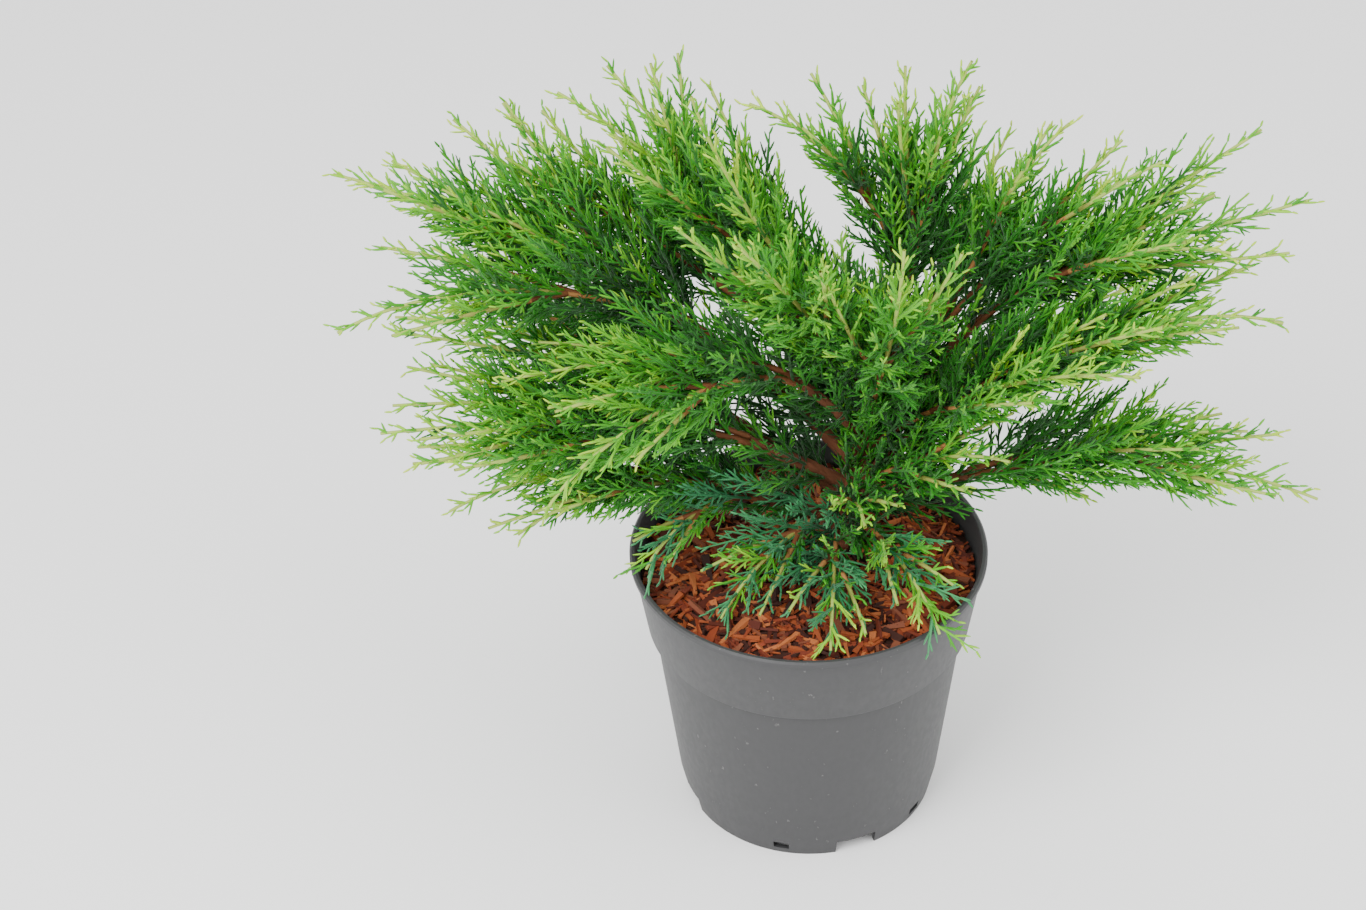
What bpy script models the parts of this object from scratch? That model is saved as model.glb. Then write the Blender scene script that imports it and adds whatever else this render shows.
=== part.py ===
"""A savin juniper in its nursery pot.

Metres, +Z up. The origin is the centre of the pot's underside. +X is the
plant's right and +Y its back, seen from the side that it is shown from.
"""

import itertools
import math
import random

import bmesh
import bpy
import numpy as np
from mathutils import Vector
from mathutils.geometry import interpolate_bezier

# Fits
GAP = 0.0003                    # left between pieces that touch
TWIG_CLEARANCE = 0.0006         # left between twigs of two masses
MERGE = 0.000002                # corners nearer than this become one

# Pot: a turned shell with a deep collar, a raised floor and a notched skirt
POT_SIDES = 40
POT_HEIGHT = 0.170
WALL = 0.0020
RIM_RADIUS = 0.100
RIM_LIP = 0.0036                # width of the rolled lip
RIM_BEAD = 0.0042               # height of the bead round the rim
COLLAR_DEPTH = 0.048
COLLAR_FOOT_RADIUS = 0.0917
COLLAR_STEP = 0.0036            # how far the body stands in under the collar
SEAM_HEIGHT = 0.017             # mould line above the skirt
SEAM_RADIUS = 0.0765
FOOT_RADIUS = 0.0731
SKIRT_WALL = 0.0024
FLOOR_HEIGHT = 0.010
FLOOR_THICKNESS = 0.0025
PAD_RADIUS = 0.036              # the floor's middle, which stands on the ground
PAD_SLOPE = 0.005

NOTCH_COUNT = 4
NOTCH_FIRST = math.radians(-68)
NOTCH_WIDTH = 0.024
NOTCH_HEIGHT = 0.0095
SLIT_OFFSET = math.radians(34)  # a slit on each side of each notch
SLIT_WIDTH = 0.009
SLIT_LOW, SLIT_HIGH = 0.004, 0.009

# Filling
MIX_SIDES = 24
MIX_TOP = 0.143
MULCH_TOP = 0.1572              # level round the trunk
MULCH_EDGE = 0.1530             # level at the wall
MULCH_FLAT_RADIUS = 0.045

# Trunk
TRUNK_SIDES = 12
TRUNK_FOOT = Vector((0.012, 0.018, MULCH_TOP + GAP))
TRUNK_TIP = Vector((0.038, 0.032, 0.262))
TRUNK_BOW = Vector((0.003, -0.002, 0.0))
TRUNK_FOOT_RADIUS = 0.0088
TRUNK_TIP_RADIUS = 0.0056
FLARE = 0.0050                  # extra radius at the root flare
FLARE_HEIGHT = 0.007
FLARE_LOBES = 3

# Boughs: height on the trunk, rise there in degrees, and far end
BOUGH_SIDES = 7
BOUGH_STEPS = 11                # straight runs in a bough's whole curve
BOUGH_KEPT = 7                  # runs kept before its masses take over
SHOOT_RADIUS = 0.0018           # radius that one mass asks of the bough under it
BOUGH_TAPER = 1.35              # foot radius over end radius
BOUGHS = {
    "bough_left_low": (0.175, 20, (-0.050, 0.006, 0.210)),
    "bough_left_back": (0.186, 30, (-0.070, 0.066, 0.230)),
    "bough_left_mid": (0.195, 40, (-0.062, -0.010, 0.264)),
    "bough_left_high": (0.2075, 54, (-0.100, 0.028, 0.326)),
    "bough_left_over": (0.2235, 60, (-0.026, -0.012, 0.304)),
    "bough_left_crest": (0.2315, 62, (-0.074, 0.054, 0.330)),
    "bough_crest": (0.262, 80, (0.054, 0.036, 0.330)),
    "bough_right_crest": (0.240, 58, (0.092, 0.034, 0.328)),
    "bough_right_high": (0.222, 56, (0.112, 0.026, 0.330)),
    "bough_right_mid": (0.203, 44, (0.112, -0.005, 0.296)),
    "bough_right_low": (0.180, 24, (0.122, 0.002, 0.232)),
    "bough_back_left": (0.218, 50, (-0.036, 0.096, 0.290)),
    "bough_back_right": (0.232, 52, (0.086, 0.096, 0.298)),
}

# Foliage masses: what carries the stem (a bough, or a height on the trunk with
# the rise there), the tip, and how the tip points, in degrees over the level
MASSES = {
    "left_low_tip": ("bough_left_low", (-0.155, -0.050, 0.217), -30),
    "left_low_reach": ("bough_left_low", (-0.192, -0.040, 0.225), -25),
    "left_low_hang": ("bough_left_low", (-0.088, -0.040, 0.185), -55),
    "left_back_reach": ("bough_left_back", (-0.233, 0.080, 0.270), -5),
    "left_back_low": ("bough_left_back", (-0.150, 0.150, 0.240), -10),
    "left_mid_reach": ("bough_left_mid", (-0.216, -0.040, 0.295), 5),
    "left_mid_fan": ("bough_left_mid", (-0.221, -0.055, 0.288), 5),
    "left_mid_under": ("bough_left_mid", (-0.204, -0.065, 0.276), 10),
    "left_high_reach": ("bough_left_high", (-0.251, 0.050, 0.381), 12),
    "left_high_droop": ("bough_left_high", (-0.242, -0.030, 0.334), -25),
    "left_high_rise": ("bough_left_high", (-0.186, 0.060, 0.408), 40),
    "left_crest_reach": ("bough_left_crest", (-0.160, 0.075, 0.410), 60),
    "left_crest_tip": ("bough_left_crest", (-0.081, 0.060, 0.440), 75),
    "crest_lean": ("bough_crest", (-0.030, 0.040, 0.427), 20),
    "crest_left": ("bough_crest", (0.049, 0.040, 0.448), 85),
    "crest_tip": ("bough_crest", (0.081, 0.022, 0.460), 65),
    "right_crest_tip": ("bough_right_crest", (0.132, 0.030, 0.420), 45),
    "right_crest_reach": ("bough_right_crest", (0.179, 0.020, 0.403), 30),
    "right_high_reach": ("bough_right_high", (0.259, 0.040, 0.368), 18),
    "right_high_under": ("bough_right_high", (0.215, 0.000, 0.361), -8),
    "right_mid_reach": ("bough_right_mid", (0.246, 0.000, 0.318), -18),
    "right_mid_under": ("bough_right_mid", (0.210, -0.030, 0.339), 8),
    "right_low_reach": ("bough_right_low", (0.270, -0.030, 0.226), -20),
    "right_low_rise": ("bough_right_low", (0.233, -0.010, 0.256), 5),
    "right_low_under": ("bough_right_low", (0.153, 0.020, 0.188), -35),
    "back_left_low": ("bough_back_left", (-0.100, 0.175, 0.296), 5),
    "back_left_high": ("bough_back_left", (-0.060, 0.130, 0.360), 50),
    "back_right_low": ("bough_back_right", (0.110, 0.175, 0.300), 10),
    "back_right_high": ("bough_back_right", (0.110, 0.120, 0.365), 50),
    "back_low": ((0.192, 30), (0.020, 0.195, 0.250), -10),
    "back_right_reach": ((0.194, 32), (0.200, 0.130, 0.262), -5),
    "over_hang": ("bough_left_over", (-0.134, -0.090, 0.264), -50),
    "over_level": ("bough_left_over", (-0.158, -0.040, 0.310), -5),
    "heart_reach": ((0.241, 60), (-0.129, 0.050, 0.429), 30),
    "heart_tip": ((0.249, 68), (-0.059, 0.030, 0.437), 75),
    "front_lean": ((0.240, 66), (-0.034, -0.080, 0.418), 50),
    "front_tip": ((0.229, 64), (0.046, -0.070, 0.408), 80),
    "right_front": ((0.216, 52), (0.164, -0.070, 0.333), 15),
    "right_front_low": ((0.198, 36), (0.105, -0.045, 0.262), 10),
    "front_low": ((0.190, 34), (0.030, -0.062, 0.232), 10),
    "skirt_left": ((0.183, 20), (-0.047, -0.060, 0.167), -45),
    "skirt_front": ((0.172, 20), (0.012, -0.088, 0.169), -50),
    "skirt_right": ((0.180, 24), (0.070, -0.078, 0.172), -45),
}

# Twigs and sprays
STEM_STEPS = 6                  # straight runs in a stem
STEM_FOOT_RADIUS = 0.0018       # corner radius of the three-sided stem
STEM_TIP_RADIUS = 0.0008
FORK_OFFSET = 0.0023            # how far two or three stems stand off a bough's axis
FORK_TURNS = 24                 # ways round that a fork is tried
SPRAY_SPACING = 0.0200
SPRAY_FIRST = 0.14              # share of the stem that stays bare at a bough
SPRAY_FIRST_ON_TRUNK = 0.24
SPRAY_LAST = 0.012              # bare length under the tip
SPRAY_SHORTEST = 0.026
SPRAY_LONGEST = 0.076
SPRAY_RATIO = 0.44              # spray length for each metre of stem still to come
SPRAY_LEAN = math.radians(34)
SPRAY_LIFT = 0.18               # how far sprays turn up to the light
SPRAY_SPREAD = 0.23             # side tips' reach over the spray's length
SPRAY_THICKNESS = 0.030         # over its length
# Tips and notches up one side of a spray, as shares of its length and its reach
SPRAY_TEETH = ((0.50, 1.0), (0.44, 0.34), (0.80, 0.72), (0.72, 0.18))
SPRAY_SINK = 0.0010             # root depth past the stem's axis
PRONG_RADIUS = 0.0018
OWN_SPACE = 1.25                # how much nearer a neighbour's stem may be
SPIRAL = math.radians(137.5)
SEED = 46


def clear_scene():
    for item in list(bpy.data.objects):
        bpy.data.objects.remove(item)


def material(name, colour, roughness):
    finish = bpy.data.materials.new(name)
    finish.use_nodes = True
    shader = finish.node_tree.nodes["Principled BSDF"]
    shader.inputs["Base Color"].default_value = (*colour, 1.0)
    shader.inputs["Roughness"].default_value = roughness
    shader.inputs["Metallic"].default_value = 0.0
    return finish


def add_object(name, bm, finish, smooth_angle=None):
    bmesh.ops.recalc_face_normals(bm, faces=bm.faces)
    mesh = bpy.data.meshes.new(name)
    bm.to_mesh(mesh)
    bm.free()
    mesh.materials.append(finish)
    if smooth_angle is not None:
        mesh.shade_smooth()
        mesh.set_sharp_from_angle(angle=smooth_angle)
    item = bpy.data.objects.new(name, mesh)
    bpy.context.scene.collection.objects.link(item)
    return item


def hide_cutter(item):
    item.hide_render = True
    item.display_type = "WIRE"


def cut(item, cutter):
    modifier = item.modifiers.new("clear_of_" + cutter.name, "BOOLEAN")
    modifier.operation = "DIFFERENCE"
    modifier.object = cutter


# Turned pieces

def turned(profile, sides):
    """A closed solid from a profile of (radius, height) that starts and ends on the axis."""
    bm = bmesh.new()
    corners = [bm.verts.new((radius, 0.0, height)) for radius, height in profile]
    edges = [bm.edges.new(pair) for pair in zip(corners, corners[1:])]
    bmesh.ops.spin(bm, geom=corners + edges, axis=(0, 0, 1), cent=(0, 0, 0),
                   angle=2 * math.pi, steps=sides, use_merge=True)
    bmesh.ops.remove_doubles(bm, verts=bm.verts, dist=1e-6)
    return bm


def body_radius(height):
    """Outside radius of the pot's tapered body between the mould line and the collar."""
    top = POT_HEIGHT - COLLAR_DEPTH
    share = (height - SEAM_HEIGHT) / (top - SEAM_HEIGHT)
    return SEAM_RADIUS + (COLLAR_FOOT_RADIUS - COLLAR_STEP - SEAM_RADIUS) * share


def collar_radius(height):
    """Outside radius of the collar, under the bead."""
    foot = POT_HEIGHT - COLLAR_DEPTH
    share = (height - foot) / COLLAR_DEPTH
    return COLLAR_FOOT_RADIUS + (RIM_RADIUS - 0.0012 - COLLAR_FOOT_RADIUS) * share


def make_pot(finish):
    collar_foot = POT_HEIGHT - COLLAR_DEPTH
    bead_foot = POT_HEIGHT - RIM_BEAD
    floor_top = FLOOR_HEIGHT + FLOOR_THICKNESS
    inner_step = collar_foot + WALL
    profile = [
        (0.0, 0.0),
        (PAD_RADIUS, 0.0),
        (PAD_RADIUS + PAD_SLOPE, FLOOR_HEIGHT),
        (FOOT_RADIUS - SKIRT_WALL + 0.0006, FLOOR_HEIGHT),
        (FOOT_RADIUS - SKIRT_WALL, 0.0),
        (FOOT_RADIUS, 0.0),
        (SEAM_RADIUS, SEAM_HEIGHT),
        (body_radius(collar_foot), collar_foot),
        (COLLAR_FOOT_RADIUS - 0.0008, collar_foot),
        (COLLAR_FOOT_RADIUS, collar_foot + 0.0012),
        (collar_radius(bead_foot), bead_foot),
        (RIM_RADIUS, bead_foot + 0.0010),
        (RIM_RADIUS, POT_HEIGHT - 0.0010),
        (RIM_RADIUS - 0.0012, POT_HEIGHT),
        (RIM_RADIUS - RIM_LIP + 0.0008, POT_HEIGHT),
        (RIM_RADIUS - RIM_LIP, POT_HEIGHT - 0.0012),
        (collar_radius(inner_step) - WALL, inner_step + 0.003),
        (body_radius(collar_foot) - WALL, inner_step - 0.003),
        (SEAM_RADIUS - WALL, SEAM_HEIGHT),
        (SEAM_RADIUS - WALL - 0.0010, floor_top),
        (PAD_RADIUS + PAD_SLOPE - FLOOR_THICKNESS / 2, floor_top),
        (PAD_RADIUS - FLOOR_THICKNESS / 2, FLOOR_THICKNESS),
        (0.0, FLOOR_THICKNESS),
    ]
    pot = add_object("pot", turned(profile, POT_SIDES), finish, math.radians(35))
    cutter = add_object("skirt_notches", skirt_notches(), finish)
    hide_cutter(cutter)
    cut(pot, cutter)
    return pot


def skirt_notches():
    """Blocks that cut the drain notches and the slits beside them out of the skirt."""
    bm = bmesh.new()
    for k in range(NOTCH_COUNT):
        middle = NOTCH_FIRST + k * 2 * math.pi / NOTCH_COUNT
        add_block(bm, middle, NOTCH_WIDTH, -0.005, NOTCH_HEIGHT)
        for side in (-1, 1):
            add_block(bm, middle + side * SLIT_OFFSET, SLIT_WIDTH, SLIT_LOW, SLIT_HIGH)
    return bm


def add_block(bm, azimuth, width, low, high):
    inner, outer = FOOT_RADIUS - 0.010, FOOT_RADIUS + 0.010
    out = Vector((math.cos(azimuth), math.sin(azimuth), 0))
    across = Vector((-out.y, out.x, 0))
    made = bmesh.ops.create_cube(bm, size=1.0)["verts"]
    for corner in made:
        x, y, z = corner.co
        place = out * (inner + (x + 0.5) * (outer - inner)) + across * (y * width)
        corner.co = (place.x, place.y, low + (z + 0.5) * (high - low))


def make_filling(mix_finish, mulch_finish):
    """Potting mix up to MIX_TOP, and the layer of bark over it."""
    collar_foot = POT_HEIGHT - COLLAR_DEPTH
    floor_top = FLOOR_HEIGHT + FLOOR_THICKNESS
    inner_step = collar_foot + WALL
    collar_inner = collar_radius(inner_step) - WALL

    def inside(height):
        """Inside radius of the collar, less the gap."""
        low = Vector((collar_inner, inner_step + 0.003))
        high = Vector((RIM_RADIUS - RIM_LIP, POT_HEIGHT - 0.0012))
        share = (height - low.y) / (high.y - low.y)
        return low.x + (high.x - low.x) * share - GAP

    mix = [
        (0.0, FLOOR_THICKNESS + GAP),
        (PAD_RADIUS - FLOOR_THICKNESS / 2 - GAP, FLOOR_THICKNESS + GAP),
        (PAD_RADIUS + PAD_SLOPE - FLOOR_THICKNESS / 2 - GAP, floor_top + GAP),
        (SEAM_RADIUS - WALL - 0.0010 - GAP, floor_top + GAP),
        (SEAM_RADIUS - WALL - GAP, SEAM_HEIGHT),
        (body_radius(collar_foot) - WALL - GAP, inner_step - 0.003),
        (collar_inner - GAP, inner_step + 0.003 + GAP),
        (inside(MIX_TOP), MIX_TOP),
        (0.0, MIX_TOP),
    ]
    add_object("potting_mix", turned(mix, MIX_SIDES), mix_finish, math.radians(35))
    mulch = [
        (0.0, MIX_TOP + GAP),
        (inside(MIX_TOP), MIX_TOP + GAP),
        (inside(MULCH_EDGE), MULCH_EDGE),
        (0.076, MULCH_TOP - 0.0012),
        (MULCH_FLAT_RADIUS, MULCH_TOP),
        (0.0, MULCH_TOP),
    ]
    add_object("bark_mulch", turned(mulch, POT_SIDES), mulch_finish, math.radians(35))


# Wood

def heading(azimuth, rise):
    return Vector((math.cos(azimuth) * math.cos(rise),
                   math.sin(azimuth) * math.cos(rise), math.sin(rise)))


def trunk_centre(height):
    share = (height - TRUNK_FOOT.z) / (TRUNK_TIP.z - TRUNK_FOOT.z)
    return TRUNK_FOOT.lerp(TRUNK_TIP, share) + TRUNK_BOW * math.sin(math.pi * share)


def trunk_radius(height, azimuth=0.0):
    share = (height - TRUNK_FOOT.z) / (TRUNK_TIP.z - TRUNK_FOOT.z)
    flare = FLARE * math.exp(-(height - TRUNK_FOOT.z) / FLARE_HEIGHT)
    lobes = 1.0 + 0.35 * math.cos(FLARE_LOBES * azimuth)
    return TRUNK_FOOT_RADIUS + (TRUNK_TIP_RADIUS - TRUNK_FOOT_RADIUS) * share + flare * lobes


def trunk_mesh(extra=0.0):
    """The trunk in level rings, from its flat cut to its fork; extra grows it all round."""
    heights = [TRUNK_FOOT.z + rise for rise in (0.0, 0.003, 0.007, 0.013, 0.025, 0.045, 0.070)]
    heights.append(TRUNK_TIP.z)
    bm = bmesh.new()
    rings = []
    for height in heights:
        level = height
        if extra and height == heights[0]:
            level -= extra
        if extra and height == heights[-1]:
            level += extra
        centre = trunk_centre(height)
        ring = []
        for side in range(TRUNK_SIDES):
            azimuth = 2 * math.pi * side / TRUNK_SIDES
            radius = trunk_radius(height, azimuth) + extra
            ring.append(bm.verts.new((centre.x + radius * math.cos(azimuth),
                                      centre.y + radius * math.sin(azimuth), level)))
        rings.append(ring)
    skin(bm, rings)
    return bm


def skin(bm, rings):
    """Faces between the rings, and a flat cap on each end."""
    for low, high in zip(rings, rings[1:]):
        for k in range(len(low)):
            after = (k + 1) % len(low)
            bm.faces.new((low[k], low[after], high[after], high[k]))
    bm.faces.new(list(reversed(rings[0])))
    bm.faces.new(rings[-1])


def square_to(direction):
    """Two unit vectors square to a direction and to each other."""
    across = direction.cross(Vector((0, 0, 1)))
    if across.length < 0.15:
        across = direction.cross(Vector((0, 1, 0)))
    across.normalize()
    return across, direction.cross(across).normalized()


def sweep(bm, points, radii, sides, first_facing=None):
    """A tapering limb along points; the first ring can face a given way."""
    rings = []
    for k, (point, radius) in enumerate(zip(points, radii)):
        facing = (points[min(k + 1, len(points) - 1)] - points[max(k - 1, 0)]).normalized()
        if k == 0 and first_facing is not None:
            facing = first_facing
        across, up = square_to(facing)
        rings.append([
            bm.verts.new(point + (across * math.cos(turn) + up * math.sin(turn)) * radius)
            for turn in (2 * math.pi * side / sides for side in range(sides))
        ])
    skin(bm, rings)


def carried_by(bough):
    return [name for name, row in MASSES.items() if row[0] == bough]


def bough_radii(bough):
    end = SHOOT_RADIUS * math.sqrt(len(carried_by(bough)))
    return end * BOUGH_TAPER, end


def bough_points(bough):
    """The bough's centre line, from inside the trunk to where its masses start, and its way there."""
    height, rise, end = BOUGHS[bough]
    start, end = trunk_centre(height), Vector(end)
    if height >= TRUNK_TIP.z:
        start.z += GAP
    run = end - start
    azimuth = math.atan2(run.y, run.x)
    lead = start + heading(azimuth, math.radians(rise)) * run.length * 0.4
    facing = (end - lead).normalized()
    follow = end - facing * run.length * 0.3
    points = interpolate_bezier(start, lead, follow, end, BOUGH_STEPS + 1)[:BOUGH_KEPT + 1]
    return points, (points[-1] - points[-2]).normalized()


def make_boughs(finish, trunk_clearance):
    for bough in BOUGHS:
        points, facing = bough_points(bough)
        foot, end = bough_radii(bough)
        count = len(points) - 1
        radii = [foot + (end - foot) * k / count for k in range(count + 1)]
        bm = bmesh.new()
        on_fork = BOUGHS[bough][0] >= TRUNK_TIP.z
        sweep(bm, points, radii, BOUGH_SIDES, Vector((0, 0, 1)) if on_fork else None)
        item = add_object(bough, bm, finish, math.radians(50))
        if not on_fork:
            cut(item, trunk_clearance)


# Foliage

def fork_starts(bough):
    """Where the stems of a bough's masses leave its end, side by side."""
    points, facing = bough_points(bough)
    across, up = square_to(facing)
    names = carried_by(bough)
    base = points[-1] + facing * GAP
    if len(names) == 1:
        return {names[0]: base}

    ways = {name: (Vector(MASSES[name][1]) - base).normalized() for name in names}
    middle = sum(ways.values(), Vector()) / len(names)
    best, starts = -1.0, {}
    for turn in range(FORK_TURNS):
        slots = []
        for k in range(len(names)):
            angle = 2 * math.pi * (k / len(names) + turn / FORK_TURNS)
            slots.append(across * math.cos(angle) + up * math.sin(angle))
        for order in itertools.permutations(slots):
            score = sum(slot.dot(ways[name] - middle) for slot, name in zip(order, names))
            if score > best + 1e-9:
                best = score
                starts = {name: base + slot * FORK_OFFSET for slot, name in zip(order, names)}
    return starts


def stem_points(name, starts):
    """A mass's stem, from its foot to its tip, and the way its foot faces."""
    carrier, tip, nod = MASSES[name]
    tip = Vector(tip)
    if isinstance(carrier, str):
        start = starts[name]
        facing = bough_points(carrier)[1]
        lead_way = facing
    else:
        height, rise = carrier
        start = trunk_centre(height)
        run = tip - start
        facing = heading(math.atan2(run.y, run.x), math.radians(rise))
        lead_way = facing
    run = tip - start
    lead = start + lead_way * run.length * 0.3
    follow = tip - heading(math.atan2(run.y, run.x), math.radians(nod)) * run.length * 0.33
    return interpolate_bezier(start, lead, follow, tip, STEM_STEPS + 1), facing


def stem_radii():
    return [STEM_FOOT_RADIUS + (STEM_TIP_RADIUS - STEM_FOOT_RADIUS) * k / STEM_STEPS
            for k in range(STEM_STEPS + 1)]


class Spray:
    """A flat five-tipped spray on a stem, thickest near its foot."""

    def __init__(self, mass, root, axis, wide, length):
        self.mass = mass
        self.root = root
        self.axis = axis
        self.wide = wide
        self.length = length

    def at(self, along, across, up=0.0):
        lift = self.axis.cross(self.wide).normalized()
        reach = self.length
        return (self.root + self.axis * (along * reach)
                + self.wide * (across * reach * SPRAY_SPREAD) + lift * (up * reach))

    def prongs(self):
        ends = [self.at(1.0, 0)]
        for side in (-1, 1):
            ends += [self.at(along, side * across) for along, across in SPRAY_TEETH[::2]]
        return [(self.root, end) for end in ends]

    def add_to(self, bm):
        outline = [(0, 0)] + list(SPRAY_TEETH) + [(1.0, 0)]
        outline += [(along, -across) for along, across in reversed(SPRAY_TEETH)]
        ridge = bm.verts.new(self.at(0.22, 0, SPRAY_THICKNESS))
        ring = [bm.verts.new(self.at(along, across)) for along, across in outline]
        for k in range(len(ring)):
            bm.faces.new((ridge, ring[k], ring[(k + 1) % len(ring)]))
        bm.faces.new(list(reversed(ring)))


class Space:
    """What is taken up already: thin capsules, each with its owner's name."""

    def __init__(self, size=6000):
        self.starts = np.zeros((size, 3))
        self.ends = np.zeros((size, 3))
        self.radii = np.zeros(size)
        self.owners = []

    def add(self, owner, start, end, radius):
        k = len(self.owners)
        self.starts[k] = start
        self.ends[k] = end
        self.radii[k] = radius
        self.owners.append(owner)

    def distances(self, start, end):
        """Least distance from one segment to each capsule's axis."""
        count = len(self.owners)
        p, d1 = np.array(start), np.array(end) - np.array(start)
        starts, d2 = self.starts[:count], self.ends[:count] - self.starts[:count]
        r = p - starts
        a, e = d1 @ d1, np.maximum((d2 * d2).sum(1), 1e-14)
        f, c, b = (d2 * r).sum(1), r @ d1, d2 @ d1
        denominator = a * e - b * b
        safe = np.where(denominator > 1e-16, denominator, 1.0)
        s = np.where(denominator > 1e-16, np.clip((b * f - c * e) / safe, 0, 1), 0.0)
        t = np.clip((b * s + f) / e, 0, 1)
        s = np.clip((b * t - c) / a, 0, 1)
        nearest = p + s[:, None] * d1 - starts - t[:, None] * d2
        return np.sqrt((nearest * nearest).sum(1))

    def is_free(self, owner, start, end, radius):
        others = np.array([name != owner for name in self.owners])
        room = self.distances(start, end) - self.radii[:len(self.owners)] - radius
        return bool((room[others] > TWIG_CLEARANCE).all())


def over_the_pot(point):
    """True where a point stays clear of the mulch, the wall and the rim."""
    out = math.hypot(point[0], point[1])
    if out > RIM_RADIUS + 0.004:
        return point[2] > SEAM_HEIGHT
    if out > RIM_RADIUS - RIM_LIP - 0.003:
        return point[2] > POT_HEIGHT + 0.003
    return point[2] > MULCH_TOP + 0.0025


def spray_candidates(name, points, rng):
    """Sprays in a spiral up the stem, shorter towards its tip."""
    runs = [(b - a).length for a, b in zip(points, points[1:])]
    total = sum(runs)
    on_trunk = not isinstance(MASSES[name][0], str)
    along = total * (SPRAY_FIRST_ON_TRUNK if on_trunk else SPRAY_FIRST)
    turn = rng.uniform(0, 2 * math.pi)
    found = []
    while along < total - SPRAY_LAST:
        rest, k = along, 0
        while rest > runs[k]:
            rest -= runs[k]
            k += 1
        way = (points[k + 1] - points[k]).normalized()
        place = points[k] + way * rest
        reach = min(SPRAY_LONGEST, SPRAY_SHORTEST + SPRAY_RATIO * (total - along))
        found.append((reach * rng.uniform(0.85, 1.1), name, place, way, turn,
                      rng.uniform(-0.6, 0.6)))
        turn += SPIRAL
        along += SPRAY_SPACING
    return found


def grown_spray(name, place, way, turn, roll, length):
    """One spray that leans off the stem, turns up a little, and lies flat to it."""
    across, up = square_to(way)
    out = across * math.cos(turn) + up * math.sin(turn)
    axis = way * math.cos(SPRAY_LEAN) + out * math.sin(SPRAY_LEAN)
    axis = (axis + Vector((0, 0, SPRAY_LIFT))).normalized()
    flat = axis.cross(way.cross(out)).normalized()
    edge = axis.cross(flat).normalized()
    wide = flat * math.cos(roll) + edge * math.sin(roll)
    return Spray(name, place - out * SPRAY_SINK, axis, wide, length)


def fits(spray, space, stems):
    root_way = spray.axis * (STEM_FOOT_RADIUS * 1.5)
    for start, end in spray.prongs():
        if not over_the_pot(end) or not over_the_pot(start.lerp(end, 0.6)):
            return False
        if not space.is_free(spray.mass, start + root_way, end, PRONG_RADIUS):
            return False
    tip = np.array(spray.at(0.8, 0))
    own = min(distance_to_line(tip, stems[spray.mass]), spray.length)
    for other, line in stems.items():
        if other != spray.mass and distance_to_line(tip, line) * OWN_SPACE < own:
            return False
    return True


def distance_to_line(point, line):
    starts, runs = line[:-1], np.diff(line, axis=0)
    share = np.clip(((point - starts) * runs).sum(1) / (runs * runs).sum(1), 0, 1)
    away = point - starts - share[:, None] * runs
    return math.sqrt((away * away).sum(1).min())


def lay_sprays(stems, facings, space):
    """Longest first, so that no mass fills its neighbour's space."""
    waiting = []
    for index, name in enumerate(stems):
        waiting += spray_candidates(name, stems[name], random.Random(SEED + index))
    waiting.sort(key=lambda item: -item[0])
    lines = {name: np.array(points) for name, points in stems.items()}
    laid = {name: [] for name in stems}
    tries = ((1.0, 0.0), (1.0, 0.7), (1.0, -0.7), (0.75, 0.0), (0.75, 1.4), (0.55, -1.4))
    for reach, name, place, way, turn, roll in waiting:
        for shrink, swing in tries:
            spray = grown_spray(name, place, way, turn + swing, roll, reach * shrink)
            if not fits(spray, space, lines):
                continue
            for start, end in spray.prongs():
                space.add(name, start, end, PRONG_RADIUS)
            laid[name].append(spray)
            break
    return laid


def join_mass(name, points, facing, sprays, finish, trunk_clearance):
    """One closed solid from a stem and its sprays; a mass that comes out open loses its last spray."""
    for count in range(len(sprays), 0, -1):
        for solver in ("EXACT", "MANIFOLD"):
            stem = fused(name, points, facing, sprays[:count], solver, finish, trunk_clearance)
            tidy_solid(stem.data)
            if is_sound(stem.data):
                return
            bpy.data.objects.remove(stem)


def fused(name, points, facing, sprays, solver, finish, trunk_clearance):
    bm = bmesh.new()
    sweep(bm, points, stem_radii(), 3, facing)
    stem = add_object(name, bm, finish)
    parts = bpy.data.collections.new(name + "_sprays")
    bpy.context.scene.collection.children.link(parts)
    for spray in sprays:
        bm = bmesh.new()
        spray.add_to(bm)
        part = add_object(name + "_spray", bm, finish)
        bpy.context.scene.collection.objects.unlink(part)
        parts.objects.link(part)
    union = stem.modifiers.new("join", "BOOLEAN")
    union.operation = "UNION"
    union.solver = solver
    union.operand_type = "COLLECTION"
    union.collection = parts
    if not isinstance(MASSES[name][0], str):
        cut(stem, trunk_clearance)
    scene_graph = bpy.context.evaluated_depsgraph_get()
    solid = bpy.data.meshes.new_from_object(stem.evaluated_get(scene_graph))
    stem.modifiers.clear()
    stem.data = solid
    for part in list(parts.objects):
        bpy.data.objects.remove(part)
    bpy.data.collections.remove(parts)
    return stem


def tidy_solid(mesh):
    """Merge corners that all but meet, and keep only the largest connected body."""
    bm = bmesh.new()
    bm.from_mesh(mesh)
    bmesh.ops.remove_doubles(bm, verts=bm.verts, dist=MERGE)
    waiting, bodies = set(bm.verts), []
    while waiting:
        body, front = set(), [waiting.pop()]
        while front:
            corner = front.pop()
            body.add(corner)
            for edge in corner.link_edges:
                other = edge.other_vert(corner)
                if other in waiting:
                    waiting.discard(other)
                    front.append(other)
        bodies.append(body)
    bodies.sort(key=len)
    loose = [corner for body in bodies[:-1] for corner in body]
    bmesh.ops.delete(bm, geom=loose, context="VERTS")
    bmesh.ops.triangulate(bm, faces=bm.faces)
    bm.to_mesh(mesh)
    bm.free()


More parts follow.
